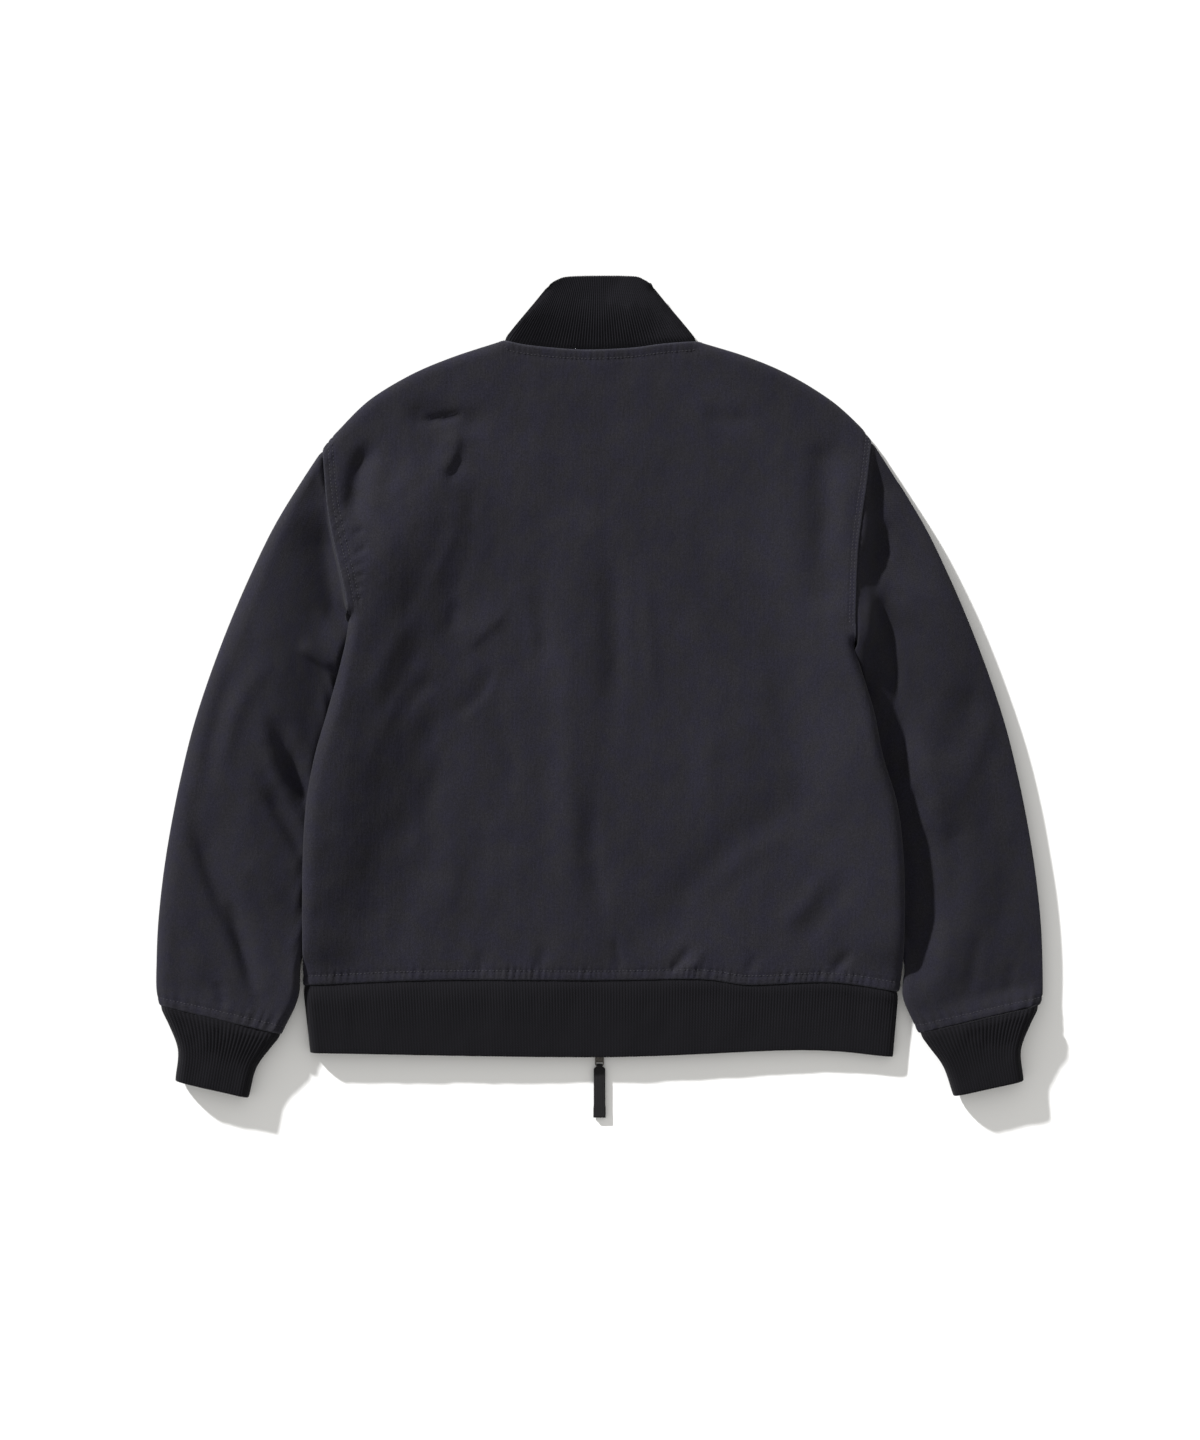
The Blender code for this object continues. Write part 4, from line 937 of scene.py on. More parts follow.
back_ground, shoulder_columns = back_plan()
back_form = np.dstack([back_ground, body_heights(back_ground[..., 0], back_ground[..., 1])[0]])
back_out = directions(back_form, False, UP)
ARM_STITCHED = (62, 14)  # the armhole's seam shows from this Y up, coming in over this length
along_arm = smooth((back_ground[..., 1] - ARM_STITCHED[0]) / ARM_STITCHED[1])
ARM_ROWS = {"left": (8.5, 14.5), "right": (4.0, 8.5)}  # the two rows of topstitching beside each armhole
back_offset = sewn_edge(back_form, "bottom", 3.1)
back_offset += sewn_edge(back_form, "top", 5.2, stitches=(9.0,), pucker=0.35, pitch=5.0,
                         where=inside(back_ground, shoulder_columns))
for edge, seed in (("left", 8.4), ("right", 9.7)):
    back_offset += sewn_edge(back_form, edge, seed, stitches=ARM_ROWS[edge], drop=0.6, turn=0.6, pucker=0.45,
                             pitch=9.0, where=along_arm)
back_grid = back_form + back_out * back_offset[..., None]
back_wear_and_highlight = seam_wear_and_highlight(back_form, ("bottom", "top", "left", "right"))
back_mesh = grid_mesh("back_panel", back_grid, back_ground * MM, wear_and_highlight=back_wear_and_highlight)
turn_towards(back_mesh, UP)
back = cloth_piece("back_panel", back_mesh, cotton)
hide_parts("back")
print("back:", back_grid.shape[:2], "points")

# %% [markdown]
# ## The fronts
# The two front panels lie under the back, flat on the surface, and their zip edges lift to the tapes.
# They are cut the same way, with fewer points because they are seen less.

# %% Cut the fronts
ZIP_TAPE_Z = 5.6  # underside of the tapes
ZIP_GAP = 0.3  # between a front edge and its tape
ZIP_LIFT_W = 14.0  # the front edges rise to the tapes over this width
FRAME_WALL = 2.4  # thickness of the frame's own cloth, which the fronts' lift allows for


def zip_lift(x, thickness):
    """How far a front edge rises towards its tape."""
    height = ZIP_TAPE_Z - ZIP_GAP - thickness
    return height * (1 - smooth((np.abs(x) - ZIP_EDGE) / ZIP_LIFT_W))


def front_plan(side, side_count=62, arm_count=40, shoulder_count=92, neck_count=36):
    outer = outer_edge(side, side_count, arm_count)
    half = stops(lengths(shoulder_line(side))[-1], ROLLED, (0,), shoulder_count)
    top = shoulder_line(side, half)
    x = outer[0, 0] + (side * ZIP_EDGE - outer[0, 0]) * half
    bottom = on_line(HEM, x)
    neck = front_neck_line(side, stops(lengths(front_neck_line(side))[-1], ROLLED, (0,), neck_count))[::-1]
    zip_rows = len(outer) - len(neck)
    below = shares(outer)[:zip_rows + 1]
    zip_edge = resample(np.stack([bottom[-1], neck[0]]), below / below[-1])
    return panel(bottom, top, outer, np.vstack([zip_edge, neck[1:]])), zip_rows


front_rims = {}
for side, name in SIDES:
    plan, zip_rows = front_plan(side)
    _, low_form = body_heights(plan[..., 0], plan[..., 1])
    form = np.dstack([plan, low_form + zip_lift(plan[..., 0], FRAME_WALL)])
    out = directions(form, False, -UP)
    arm_part = smooth((plan[..., 1] - ARM_STITCHED[0]) / ARM_STITCHED[1])
    arm_part *= smooth((np.abs(plan[..., 0]) - 100) / 30)
    offset = sewn_edge(form, "bottom", 13.1 + side, pucker=0.25) * 0.7
    offset += sewn_edge(form, "left", 15.4 + side, stitches=(8.0,), pitch=9.0, pucker=0.2, where=arm_part)
    offset += sewn_edge(form, "right", 17.4 + side, stitches=(7.0,), pucker=0.2, drop=0.6)
    offset = np.minimum(offset, np.maximum(form[..., 2], 0))
    grid = form + out * offset[..., None]
    grid[..., 2] = np.maximum(grid[..., 2], RESTING)
    mesh = grid_mesh("front_panel_" + name, grid, plan * MM, wear_and_highlight=seam_wear_and_highlight(form, ("bottom", "right")))
    turn_towards(mesh, -UP)
    cloth_piece("front_panel_" + name, mesh, cotton)
    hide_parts("front_" + name)
    front_rims[side] = (grid, form, zip_rows)
    print("front", name, grid.shape[:2], "points")

# %% [markdown]
# ## The sleeves
# A sleeve is a tube, pressed nearly flat, from the armhole to the cuff. The rings of the pattern are
# joined by smooth curves along the arm, and its creases are laid on the upper half only: the lower
# half lies on the surface. Where the body lies on a tucked sleeve, the creases fade away.

# %% Creases of the sleeves
# columns as for the back, with X as a distance out from the middle of the jacket
SLEEVE_CREASES = {
    -1: (
        (((261, 184), (252, 142), (247, 106), (244, 72), (243, 44)), 30, 5, -11.0),
        (((288, 50), (268, 38), (248, 26)), 5, 10, 3.4),
        (((318, 150), (320, 110), (312, 60), (320, 34)), 16, 16, 2.2),
        (((300, 40), (328, 14), (346, -20), (362, -84)), 11, 9, 2.2),
        (((314, -12), (301, -46), (284, -84), (264, -120)), 8, 10, -5.4),
        (((300, -46), (286, -78), (268, -112)), 9, 9, -5.0),
        (((320, -44), (306, -76), (286, -112)), 5, 6, 2.0),
        (((320, -80), (306, -106), (290, -134), (274, -164)), 6, 9, -5.0),
        (((296, -24), (280, -50), (266, -76)), 9, 8, 1.8),
        (((346, 36), (358, -4), (367, -48), (368, -92)), 10, 12, -2.6),
        (((386, -110), (368, -170), (344, -226), (322, -282)), 8, 14, -6.4),
        (((352, -186), (340, -236), (326, -286)), 5, 8, -3.8),
        (((400, -180), (384, -240), (380, -284)), 12, 12, 1.4),
        (((364, -268), (358, -284), (360, -298)), 5, 6, -2.2),
        (((340, -150), (320, -170), (300, -200)), 9, 10, 1.6),
        (((384, 40), (392, -10), (396, -60)), 9, 12, -1.4),
    ),
    1: (
        (((262, 236), (267, 196), (271, 154), (264, 120), (253, 92)), 58, 14, -11.0),
        (((268, 168), (272, 148), (268, 128)), 9, 9, -4.0),
        (((267, 112), (259, 84), (256, 56), (260, 24), (267, -10)), 7, 12, 6.0),
        (((258, 110), (275, 66), (283, 22), (285, -22), (279, -62), (276, -88)), 34, 9, -11.0),
        (((306, -106), (322, -128), (328, -160), (320, -200), (304, -252)), 22, 26, -8.0),
        (((266, -86), (284, -90), (300, -96)), 12, 15, 3.5),
        (((356, 14), (344, -20), (318, -72)), 14, 18, -2.6),
        (((376, 0), (362, -44), (344, -88)), 9, 10, 1.2),
        (((392, -120), (388, -180), (376, -240)), 14, 15, -1.2),
        (((360, -220), (356, -250), (350, -288)), 6, 8, -1.6),
        (((392, -250), (390, -270), (392, -284)), 6, 6, -1.2),
        (((310, 168), (322, 120), (330, 80)), 13, 14, 1.0),
    ),
}


# %% Sew the sleeves
def ring_stops(count):
    """Shares across a pressed tube, close together at its two rolled edges."""
    return (1 - np.cos(np.linspace(0, math.pi, count))) / 2


def armhole_ring(side, across):
    """The armhole as a closed ring: over the top from the shoulder tip to the underarm, and back."""
    line = armhole_line(side, across)[::-1].copy()
    top, bottom = body_heights(line[:, 0], line[:, 1])
    line[-1] += (side * UNDERARM_EASE, -UNDERARM_EASE)
    over = np.column_stack([line, top])
    under = np.column_stack([line, bottom])
    return np.vstack([over, under[::-1][1:]])


def tube_ring(side, row, across):
    """One ring of a pressed tube, and how much its creases count at each of its points."""
    v = dict(zip(SLEEVE["columns"], row))
    name = SIDE_NAME[side]
    outer = np.array([side * v["x_out"], v["y_out"]])
    inner = np.array([side * v["x_in_" + name], v["y_in_" + name]])
    plan = outer + (inner - outer) * across[:, None]
    width = np.linalg.norm(inner - outer)
    rise = roll(across * width, v["roll_out"]) * roll((1 - across) * width, v["roll_in"])
    middle = v["z_out"] + (v["z_in"] - v["z_out"]) * across
    beyond_body = side * plan[:, 0] - at(SIDE, name, plan[:, 1])
    start, ramp = SLEEVE_OUT[side]
    under = 1 - smooth((beyond_body - start) / ramp)
    top = v["top"] + (v["top_under"] - v["top"]) * under
    shelf = SLEEVE_SHELF[side] * smooth((beyond_body - SHELF_OUT[0]) / SHELF_OUT[1]) * under
    top = np.minimum(top + shelf * smooth((v["top"] - v["top_under"]) / 12), v["top"])
    covered = (1 - smooth((beyond_body + 6) / 8)) * smooth((UNDERARM[side] - 8 - plan[:, 1]) / 30)
    over = np.column_stack([plan, middle + (top - middle) * rise, rise * (1 - covered)])
    below = np.column_stack([plan, middle * (1 - rise), np.zeros(len(plan))])
    return np.vstack([over, below[::-1][1:]])


def tube(rings, count, near_start, near_end):
    """Rows of points along a tube, smooth between its rings."""
    steps = np.linalg.norm(np.diff(rings[..., :3], axis=0), axis=2).mean(axis=1)
    places = np.concatenate([[0], np.cumsum(steps)])
    wanted = stops(places[-1], near_start, near_end, count) * places[-1]
    return through(rings, places, wanted)


SLEEVE_NEAR = (0, 0.7, 1.6, 3.0, 4.6, 6.5, 8.5, 11.0)
LIP = {-1: 11.0, 1: 19.0}  # how far a sleeve's lower layer reaches in below the body's edge
LIP_ROWS = 95.0  # down to here from the underarm
SLEEVE_SINK = {-1: (0.0, 2.5), 1: (4.0, 8.0)}  # beside the body and further out, below the frame's own
EDGE_TUCK = 14.0  # at most how far a sleeve's inner edge moves in, to lie below the body's edge


def lip(side, form, inner_edge):
    """How far each point of a sleeve's lower layer moves in, below the body beside the underarm."""
    from_inner = np.linalg.norm(form - inner_edge, axis=2)
    shape = smooth(from_inner / 4) * (1 - smooth((from_inner - 8) / 26))
    below_arm = UNDERARM[side] - form[..., 1]
    reach = smooth((below_arm + 10) / 16) * (1 - smooth((below_arm - LIP_ROWS + 30) / 30))
    return LIP[side] * shape * reach


def tucked_in(side, form, inner_edge):
    """How far points near a sleeve's inner edge move in, so that no gap shows beside the body."""
    name = SIDE_NAME[side]
    gap = side * inner_edge[..., 0] - at(SIDE, name, inner_edge[..., 1])
    from_inner = np.linalg.norm(form - inner_edge, axis=2)
    below_arm = UNDERARM[side] - inner_edge[..., 1]
    reach = smooth(below_arm / 10) * (1 - smooth((below_arm - 60) / 60))
    return np.clip(gap + 5.0, 0, EDGE_TUCK) * reach * (1 - smooth(from_inner / 30))


SLEEVE_MIN_TOP = 6.0  # no crease reaches below this height, before the sleeve is sunk
SLEEVE_FREE = {-1: 4.5, 1: 7.0}  # its creases start this far from the armhole's seam
SLEEVE_LEAST = 2 * CLOTH + 0.6  # its two layers, lying on each other
sleeve_grids = {}
for side, name in SIDES:
    across = ring_stops(72)
    ring_rows = [tube_ring(side, row, across) for row in SLEEVE["rows"]]
    first = np.column_stack([armhole_ring(side, across), ring_rows[0][:, 3]])
    rows = tube(np.stack([first, *ring_rows]), 150, SLEEVE_NEAR, SEWN)
    form = rows[..., :3].copy()
    from_seam, _ = from_edge(form, "bottom")
    from_cuff, _ = from_edge(form, "top")
    counts = np.clip(rows[..., 3], 0, 1) * smooth(from_seam / SLEEVE_FREE[side])
    counts = counts * (0.35 + 0.65 * smooth(from_cuff / 25))
    x = side * form[..., 0]
    height = creased(SLEEVE_CREASES[side], x, form[..., 1]) + uneven(x, form[..., 1], 20.0 + side)
    height = np.maximum(height, SLEEVE_MIN_TOP - form[..., 2])
    height -= SLEEVE_SINK[side][0] * smooth((x - 252) / 14) + SLEEVE_SINK[side][1] * smooth((x - 285) / 100)
    form[..., 2] = np.maximum(form[..., 2] + height * counts, np.minimum(form[..., 2], SLEEVE_LEAST))
    half = len(across) - 1
    form[..., 0] -= side * tucked_in(side, form, form[:, half:half + 1].copy())
    form[:, half + 1:-1, 0] -= side * lip(side, form[:, half + 1:-1], form[:, half:half + 1])
    out = directions(form, True, None)
    offset = sewn_edge(form, "bottom", 21.0 + side, stitches=(5.0,), drop=1.9, swell=0.1, sink=0.0,
                       pucker=0.3, pitch=8.0, turn=4.0)
    offset += sewn_edge(form, "top", 23.0 + side, stitches=(8.5,), pucker=0.75, pitch=9.5, reach=1.5)
    free = (rows[..., 3] > 0) * smooth(form[..., 2] / 3)
    offset *= np.where(from_seam < 20, smooth(form[..., 2] / 3), 0.25 + 0.75 * free)
    grid = form + out * offset[..., None]
    grid[..., 2] = np.maximum(grid[..., 2], RESTING)
    girth = lengths(form[len(form) // 2]) * MM
    down = lengths(form[:, len(across) // 2]) * MM
    uv = np.dstack(np.broadcast_arrays(girth[None, :], down[:, None]))
    mesh = grid_mesh("sleeve_tube_" + name, grid, uv, ring=True, wear_and_highlight=seam_wear_and_highlight(form, ("top",)))
    cloth_piece("sleeve_tube_" + name, mesh, sleeve_cotton[side])
    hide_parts("sleeve_" + name)
    sleeve_grids[side] = grid
    print("sleeve", name, grid.shape[:2], "points")

# %% [markdown]
# ## Ribbed bands
# The collar, cuffs and hem band are knitted strips folded double, so their free edge is a round fold.
# The strip runs from the seam along the outside, over the fold and back up inside. Four columns of
# points make one rib: one in the valley, one on the crown and two on the flanks.

# %% Fold and rib a knitted strip
RIB = 3.0  # thickness of the doubled strip
RIB_PITCH = 2.8
RIB_COLUMNS = 4
CUFF_RELIEF = 0.48  # how far a rib rises and a valley sinks, in the cuffs
HEM_RELIEF = 0.30
COLLAR_RELIEF = 0.85
SEAM_VALLEY = 1.3  # a band is drawn in this far at its seam
LOOP_ROW = 1.5  # height of one row of loops


def knitted(name, outer, ring, outward, ribs=CUFF_RELIEF, finish=knit):
    """Folds a strip's outer face over its free edge and back inside, and raises its ribs."""
    out = directions(outer, ring, outward)
    along = outer[-1] - outer[-3]
    along /= np.linalg.norm(along, axis=1)[:, None]
    half = RIB / 2
    rows = list(outer)
    squares = list(out)
    edge = outer[-1] - out[-1] * half
    for angle in np.radians((22, 45, 68, 90, 112, 135, 158)):
        square = out[-1] * math.cos(angle) + along * math.sin(angle)
        rows.append(edge + square * half)
        squares.append(square)
    inner = list(range(len(outer) - 1, -1, -5))
    if inner[-1] != 0:
        inner.append(0)
    for k in inner:
        rows.append(outer[k] - out[k] * RIB)
        squares.append(-out[k])
    rows.append(outer[0])
    squares.append(out[0])
    grid = np.stack(rows)
    square = np.stack(squares)
    from_seam, _ = from_edge(outer, "bottom")
    depth = np.vstack([from_seam, np.full((len(rows) - len(outer), outer.shape[1]), 99.0)])
    column = np.arange(outer.shape[1])
    crown = -np.cos(2 * math.pi * column / RIB_COLUMNS)[None, :]
    relief = ribs * crown * (0.55 + 0.45 * smooth(depth / 8)) * (1 - 0.6 * smooth((depth - 16) / 34))
    relief -= SEAM_VALLEY * np.exp(-((depth / 3.5) ** 2))
    grid += square * relief[..., None]
    grid[..., 2] = np.maximum(grid[..., 2], RESTING)
    grid[-1] = grid[0]
    v = np.concatenate([[0], np.cumsum(np.linalg.norm(np.diff(grid, axis=0), axis=2).mean(axis=1))])
    uv = np.dstack(np.broadcast_arrays((column / RIB_COLUMNS)[None, :] + 0.5, (v / LOOP_ROW)[:, None]))
    mesh = grid_mesh(name, grid, uv)
    sew(mesh, outwards=False)
    bm = bmesh.new()
    bm.from_mesh(mesh)
    holes = [edge for edge in bm.edges if edge.is_boundary]
    if holes:
        bmesh.ops.holes_fill(bm, edges=holes, sides=0)
    bmesh.ops.recalc_face_normals(bm, faces=bm.faces[:])
    bm.to_mesh(mesh)
    bm.free()
    return cloth_piece(name, mesh, finish, thickness=0)


# %% Knit the cuffs
CUFF_RIBS = 64
for side, name in SIDES:
    fine = ring_stops(200)
    base = [tube_ring(side, row, fine) for row in (SLEEVE["rows"][-1], *CUFF_ROWS)]
    columns = CUFF_RIBS * RIB_COLUMNS + 1
    rings = np.stack([resample(ring[:, :3], np.linspace(0, 1, columns)) for ring in base])
    back_up = rings[-2] - rings[-1]
    rings[-1] += back_up * (RIB / 2 / np.linalg.norm(back_up, axis=1))[:, None]
    outer = tube(rings, 20, (0, 1.0, 2.4, 4.2), (0,))
    soft = uneven(outer[..., 0], outer[..., 1], 33.0 + side) * 1.5
    outer[..., 2] += soft * smooth((outer[..., 2] - 6) / 5)
    knitted("cuff_knit_" + name, outer, True, None)
    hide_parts("cuff_" + name)
    print("cuff", name, CUFF_RIBS, "ribs")

# %% Knit the hem band and the collar
BAND_ROLL = 9.0  # width of the rolled edge where a band turns over
BAND_MIDDLE = 6.8  # height of that edge
HEM_TOP = 13.4
HEM_LEAN = -0.009  # rise for each millimetre to the right, so the band lies higher on the left
COLLAR_STEPS = (0.3, 0.65, 1.0)
COLLAR_TOPS = (13.0, 12.6, 12.0)
COLLAR_SEAM_TOP = 13.2
HEM_TAPER_W = 60.0  # the band's front runs straight down at the zip and spreads out over this width


def ribbed_run(points):
    """A line in space again, with points at every column of whole ribs."""
    ribs = round(lengths(points)[-1] / RIB_PITCH)
    return resample(points, np.linspace(0, 1, ribs * RIB_COLUMNS + 1))


def seam_round(left_front, back_line, right_front):
    """The seam of a band, from zip to zip, and the two columns where it turns over."""
    parts = [ribbed_run(part) for part in (left_front, back_line, right_front)]
    seam = np.vstack([parts[0], parts[1][1:], parts[2][1:]])
    return seam, (len(parts[0]) - 1, len(parts[0]) + len(parts[1]) - 2)


def band(seam, end, tops, turns, count, lean=0.0):
    """The outer face of a strip from its seam to its fold."""
    is_front = np.ones(len(seam), bool)
    is_front[turns[0]:turns[1] + 1] = False
    folds = [np.stack([seam[turn, :2], end[turn]]) for turn in turns]
    depth = np.linalg.norm(end - seam[:, :2], axis=1)
    rows = []
    for step in stops(depth.mean() - RIB / 2, (0, 1.2, 2.8, 4.8), (0,), count):
        step = step * (1 - RIB / 2 / depth[:, None])
        plan = seam[:, :2] * (1 - step) + end * step
        x = plan[:, 0]
        rise = roll(np.minimum(*[distance_to(x, plan[:, 1], fold) for fold in folds]), BAND_ROLL)
        top = np.interp(step[:, 0], tops[0], tops[1]) + lean * x
        over = BAND_MIDDLE + (top - BAND_MIDDLE) * rise
        over += uneven(x, plan[:, 1], 51.0) * rise
        below = BAND_MIDDLE * (1 - rise) + zip_lift(x, RIB)
        height = np.where(is_front, below, over)
        start = 1 - smooth(step[:, 0] / 0.25)
        height = height * (1 - start) + seam[:, 2] * start
        rows.append(np.column_stack([plan, height]))
    return np.stack(rows)


hem_points = {side: front_rims[side][1][0] for side in (-1, 1)}
hem_seam, hem_turns = seam_round(hem_points[-1][::-1], back_form[0], hem_points[1])
hem_bottom = curve(HEM_BOTTOM, np.linspace(0, 1, 300))
share = (hem_seam[:, 0] - back_form[0, 0, 0]) / (back_form[0, -1, 0] - back_form[0, 0, 0])
hem_x = hem_bottom[0, 0] + (hem_bottom[-1, 0] - hem_bottom[0, 0]) * share
from_zip = smooth((np.abs(hem_seam[:, 0]) - ZIP_EDGE) / HEM_TAPER_W)
hem_columns = np.arange(len(hem_seam))
hem_front = (hem_columns < hem_turns[0]) | (hem_columns > hem_turns[1])
hem_x = np.where(hem_front, hem_seam[:, 0] * (1 - from_zip) + hem_x * from_zip, hem_x)
hem_end = on_line(hem_bottom, hem_x)
hem_outer = band(hem_seam, hem_end, ((0, 0.45, 1), (HEM_TOP,) * 3), hem_turns, 15, HEM_LEAN)
hem_outward = hem_outer - hem_outer.mean(axis=(0, 1))
hem_band = knitted("hem_band", hem_outer, False, hem_outward, HEM_RELIEF)
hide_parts("hem_rib")
print("hem band", len(hem_seam) // RIB_COLUMNS, "ribs")

neck_points = {side: form[zip_rows:, -1] for side, (_, form, zip_rows) in front_rims.items()}
neck_back = back_form[-1, shoulder_columns - 1:-shoulder_columns + 1]
neck_seam, neck_turns = seam_round(neck_points[-1], neck_back, neck_points[1][::-1])
front_ends = {side: curve(mirrored([COLLAR_CORNER[side], *COLLAR_FRONT_TOP], side), EVEN) for side in (-1, 1)}
left_part = neck_seam[:neck_turns[0] + 1]
back_part = neck_seam[neck_turns[0]:neck_turns[1] + 1]
right_part = neck_seam[neck_turns[1]:]
collar_end = np.vstack([
    resample(front_ends[-1][::-1], shares(left_part)),
    curve(COLLAR_BACK_TOP, shares(back_part))[1:],
    resample(front_ends[1], shares(right_part))[1:],
])
collar_tops = ((0, *COLLAR_STEPS), (COLLAR_SEAM_TOP, *COLLAR_TOPS))
collar_outer = band(neck_seam, collar_end, collar_tops, neck_turns, 22)
collar_outward = collar_outer - collar_outer.mean(axis=(0, 1))
collar = knitted("collar_knit", collar_outer, False, collar_outward, COLLAR_RELIEF, collar_rib)
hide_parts("collar")
print("collar", len(neck_seam) // RIB_COLUMNS, "ribs")

# %% [markdown]
# ## Topstitching
# Each stitch is a short grain of thread that lies in the groove of its row. One round form, stretched
# and turned to the row, is repeated along it.

# %% Sew the rows
STITCH = (2.7, 0.62, 0.55)  # length, width and height
STITCH_PITCH = 3.5
STITCH_LOWEST = -0.2  # a stitch under the jacket is pressed flat by the surface
STITCH_OUT = 0.12  # its middle stands this far out of the cloth


def thread_material():
    made, shader = plain_material("navy_thread", (0.034, 0.033, 0.040), 0.6, 0.3)
    tree = made.node_tree
    twist = object_noise(tree, (900,) * 3)
    colour = mixed(tree, twist, (0.024, 0.023, 0.029, 1), (0.044, 0.043, 0.052, 1))
    tree.links.new(colour, shader.inputs["Base Color"])
    bumped(tree, shader, twist, 0.0001)
    return made


thread = thread_material()


def stitch_rows(name, lines):
    """Stitches along lines of points, each with the cloth's direction there."""
    bm = bmesh.new()
    total = 0
    for line in lines:
        along = lengths(line[:, :3])
        count = int(along[-1] / STITCH_PITCH)
        for k in range(count):
            middle = (k + 0.5) * STITCH_PITCH
            ends = (middle - STITCH[0] / 2, middle, middle + STITCH[0] / 2)
            a, place, b = (Vector([np.interp(s, along, line[:, i]) for i in range(3)]) for s in ends)
            square = Vector([np.interp(middle, along, line[:, 3 + i]) for i in range(3)])
            run = (b - a).normalized()
            square = (square - run * square.dot(run)).normalized()
            turn = Matrix((run, square.cross(run), square)).transposed().to_4x4()
            size = Matrix.Diagonal((STITCH[0] / 2, STITCH[1] / 2, STITCH[2] / 2, 1))
            whole = Matrix.Scale(MM, 4) @ Matrix.Translation(place + square * STITCH_OUT) @ turn @ size
            bmesh.ops.create_icosphere(bm, subdivisions=1, radius=1, matrix=whole)
            total += 1
    for point in bm.verts:
        point.co.z = max(point.co.z, STITCH_LOWEST * MM)
    mesh = mesh_of(bm, name)
    mesh.shade_smooth()
    mesh.materials.append(thread)
    piece = add_object(name, mesh)
    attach(piece, "jacket")
    print(name, total, "stitches")
    return piece


back_out_final = directions(back_grid, False, UP)
arm_rows = np.flatnonzero(back_grid[:, 0, 1] > 84)
arm_rows_right = np.flatnonzero(back_grid[:, -1, 1] > 60)
neck_span = slice(shoulder_columns - 1, -shoulder_columns + 1)
back_lines = [row_beside(back_grid, "bottom", 9.2, back_out_final)[6:-6],
              row_beside(back_grid, "top", 9.0, back_out_final)[neck_span]]
for inset in ARM_ROWS["left"]:
    back_lines.append(row_beside(back_grid, "left", inset, back_out_final)[arm_rows])
for inset in ARM_ROWS["right"]:
    back_lines.append(row_beside(back_grid, "right", inset, back_out_final)[arm_rows_right])
back_stitches = stitch_rows("stitches_back", back_lines)

for side, name in SIDES:
    grid = front_rims[side][0]
    out = directions(grid, False, -UP)
    lines = [row_beside(grid, "bottom", 9.2, out)[6:-4], row_beside(grid, "right", 7.0, out)[4:-12],
             row_beside(grid, "left", 8.0, out)[np.flatnonzero(grid[:, 0, 1] > 84)]]
    stitch_rows("stitches_front_" + name, lines)

for side, name in SIDES:
    grid = sleeve_grids[side]
    line = row_beside(grid, "top", 8.5, directions(grid, True, None))
    stitch_rows("stitches_cuff_" + name, [line])

# %% [markdown]
# ## The zip
# The jacket closes with a two-way zip on woven tapes. Each tape has a thick bead along its inner edge,
# and the teeth are crimped on it, one row between the gaps of the other.

# %% Woven tapes
TAPE_IN = 3.05  # from the middle to a tape's inner edge
TAPE_OUT = 17.0  # and to its outer edge
TAPE_T = 0.8  # thickness
ZIP_BOTTOM = -340.5
ZIP_TOP = 331.0


def tape_material():
    made, shader = plain_material("woven_tape", (0.0105, 0.0102, 0.0128), 0.85, 0.2)
    tree = made.node_tree
    bone = wave_of(tree, 210.0, "DIAGONAL", 0.3)
    fuzz = noise_of(tree, grain_places(tree, 700, 300))
    height = maths(tree, "ADD", bone, maths(tree, "MULTIPLY", fuzz, 0.4))
    colour = mixed(tree, height, (0.008, 0.0078, 0.0095, 1), (0.0135, 0.0130, 0.0165, 1))
    tree.links.new(colour, shader.inputs["Base Color"])
    bumped(tree, shader, height, 0.0002)
    return made


woven = tape_material()
for side, name in SIDES:
    bead = [TAPE_IN + step for step in (0.0, 0.5, 1.4, 2.0)]
    x = side * np.array((*bead, 9.0, 13.0, TAPE_OUT - 0.4, TAPE_OUT))
    rise = np.array((0.0, 0.28, 0.28, 0.0, 0.0, 0.0, 0.0, -0.1))
    y = np.linspace(ZIP_BOTTOM, ZIP_TOP, 240)
    plan = np.dstack(np.broadcast_arrays(x[None, :], y[:, None]))
    wavy = 0.10 * np.sin(plan[..., 1] / 9.0) * smooth((np.abs(plan[..., 0]) - 5) / 10)
    grid = np.dstack([plan, ZIP_TAPE_Z + TAPE_T + rise[None, :] * 0.5 + wavy])
    mesh = grid_mesh("woven_tape_" + name, grid, plan * MM)
    turn_towards(mesh, UP)
    cloth_piece("woven_tape_" + name, mesh, woven, thickness=TAPE_T)
    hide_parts("zip_tape_" + name)
print("tapes", round(ZIP_TOP - ZIP_BOTTOM), "mm long")

# %% Metal teeth
TOOTH_PITCH = 2.6
TOOTH = (3.9, 1.25, 2.4)  # across, along and high
TOOTH_REACH = 0.9  # how far a tooth passes the middle


def zip_metal():
    made, shader = plain_material("dark_zip_metal", (0.085, 0.074, 0.064), 0.36, 0.5, 0.95)
    tree = made.node_tree
    patches = ranged(tree, object_noise(tree, (420,) * 3, 3.0), 0.35, 0.65, 0, 1)
    fine_grain = object_noise(tree, (2600, 300, 2600))
    colour = mixed(tree, patches, (0.060, 0.056, 0.053, 1), (0.110, 0.100, 0.090, 1))
    tree.links.new(colour, shader.inputs["Base Color"])
    tree.links.new(ranged(tree, fine_grain, 0.3, 0.7, 0.28, 0.46), shader.inputs["Roughness"])
    bumped(tree, shader, fine_grain, 0.00003)
    return made


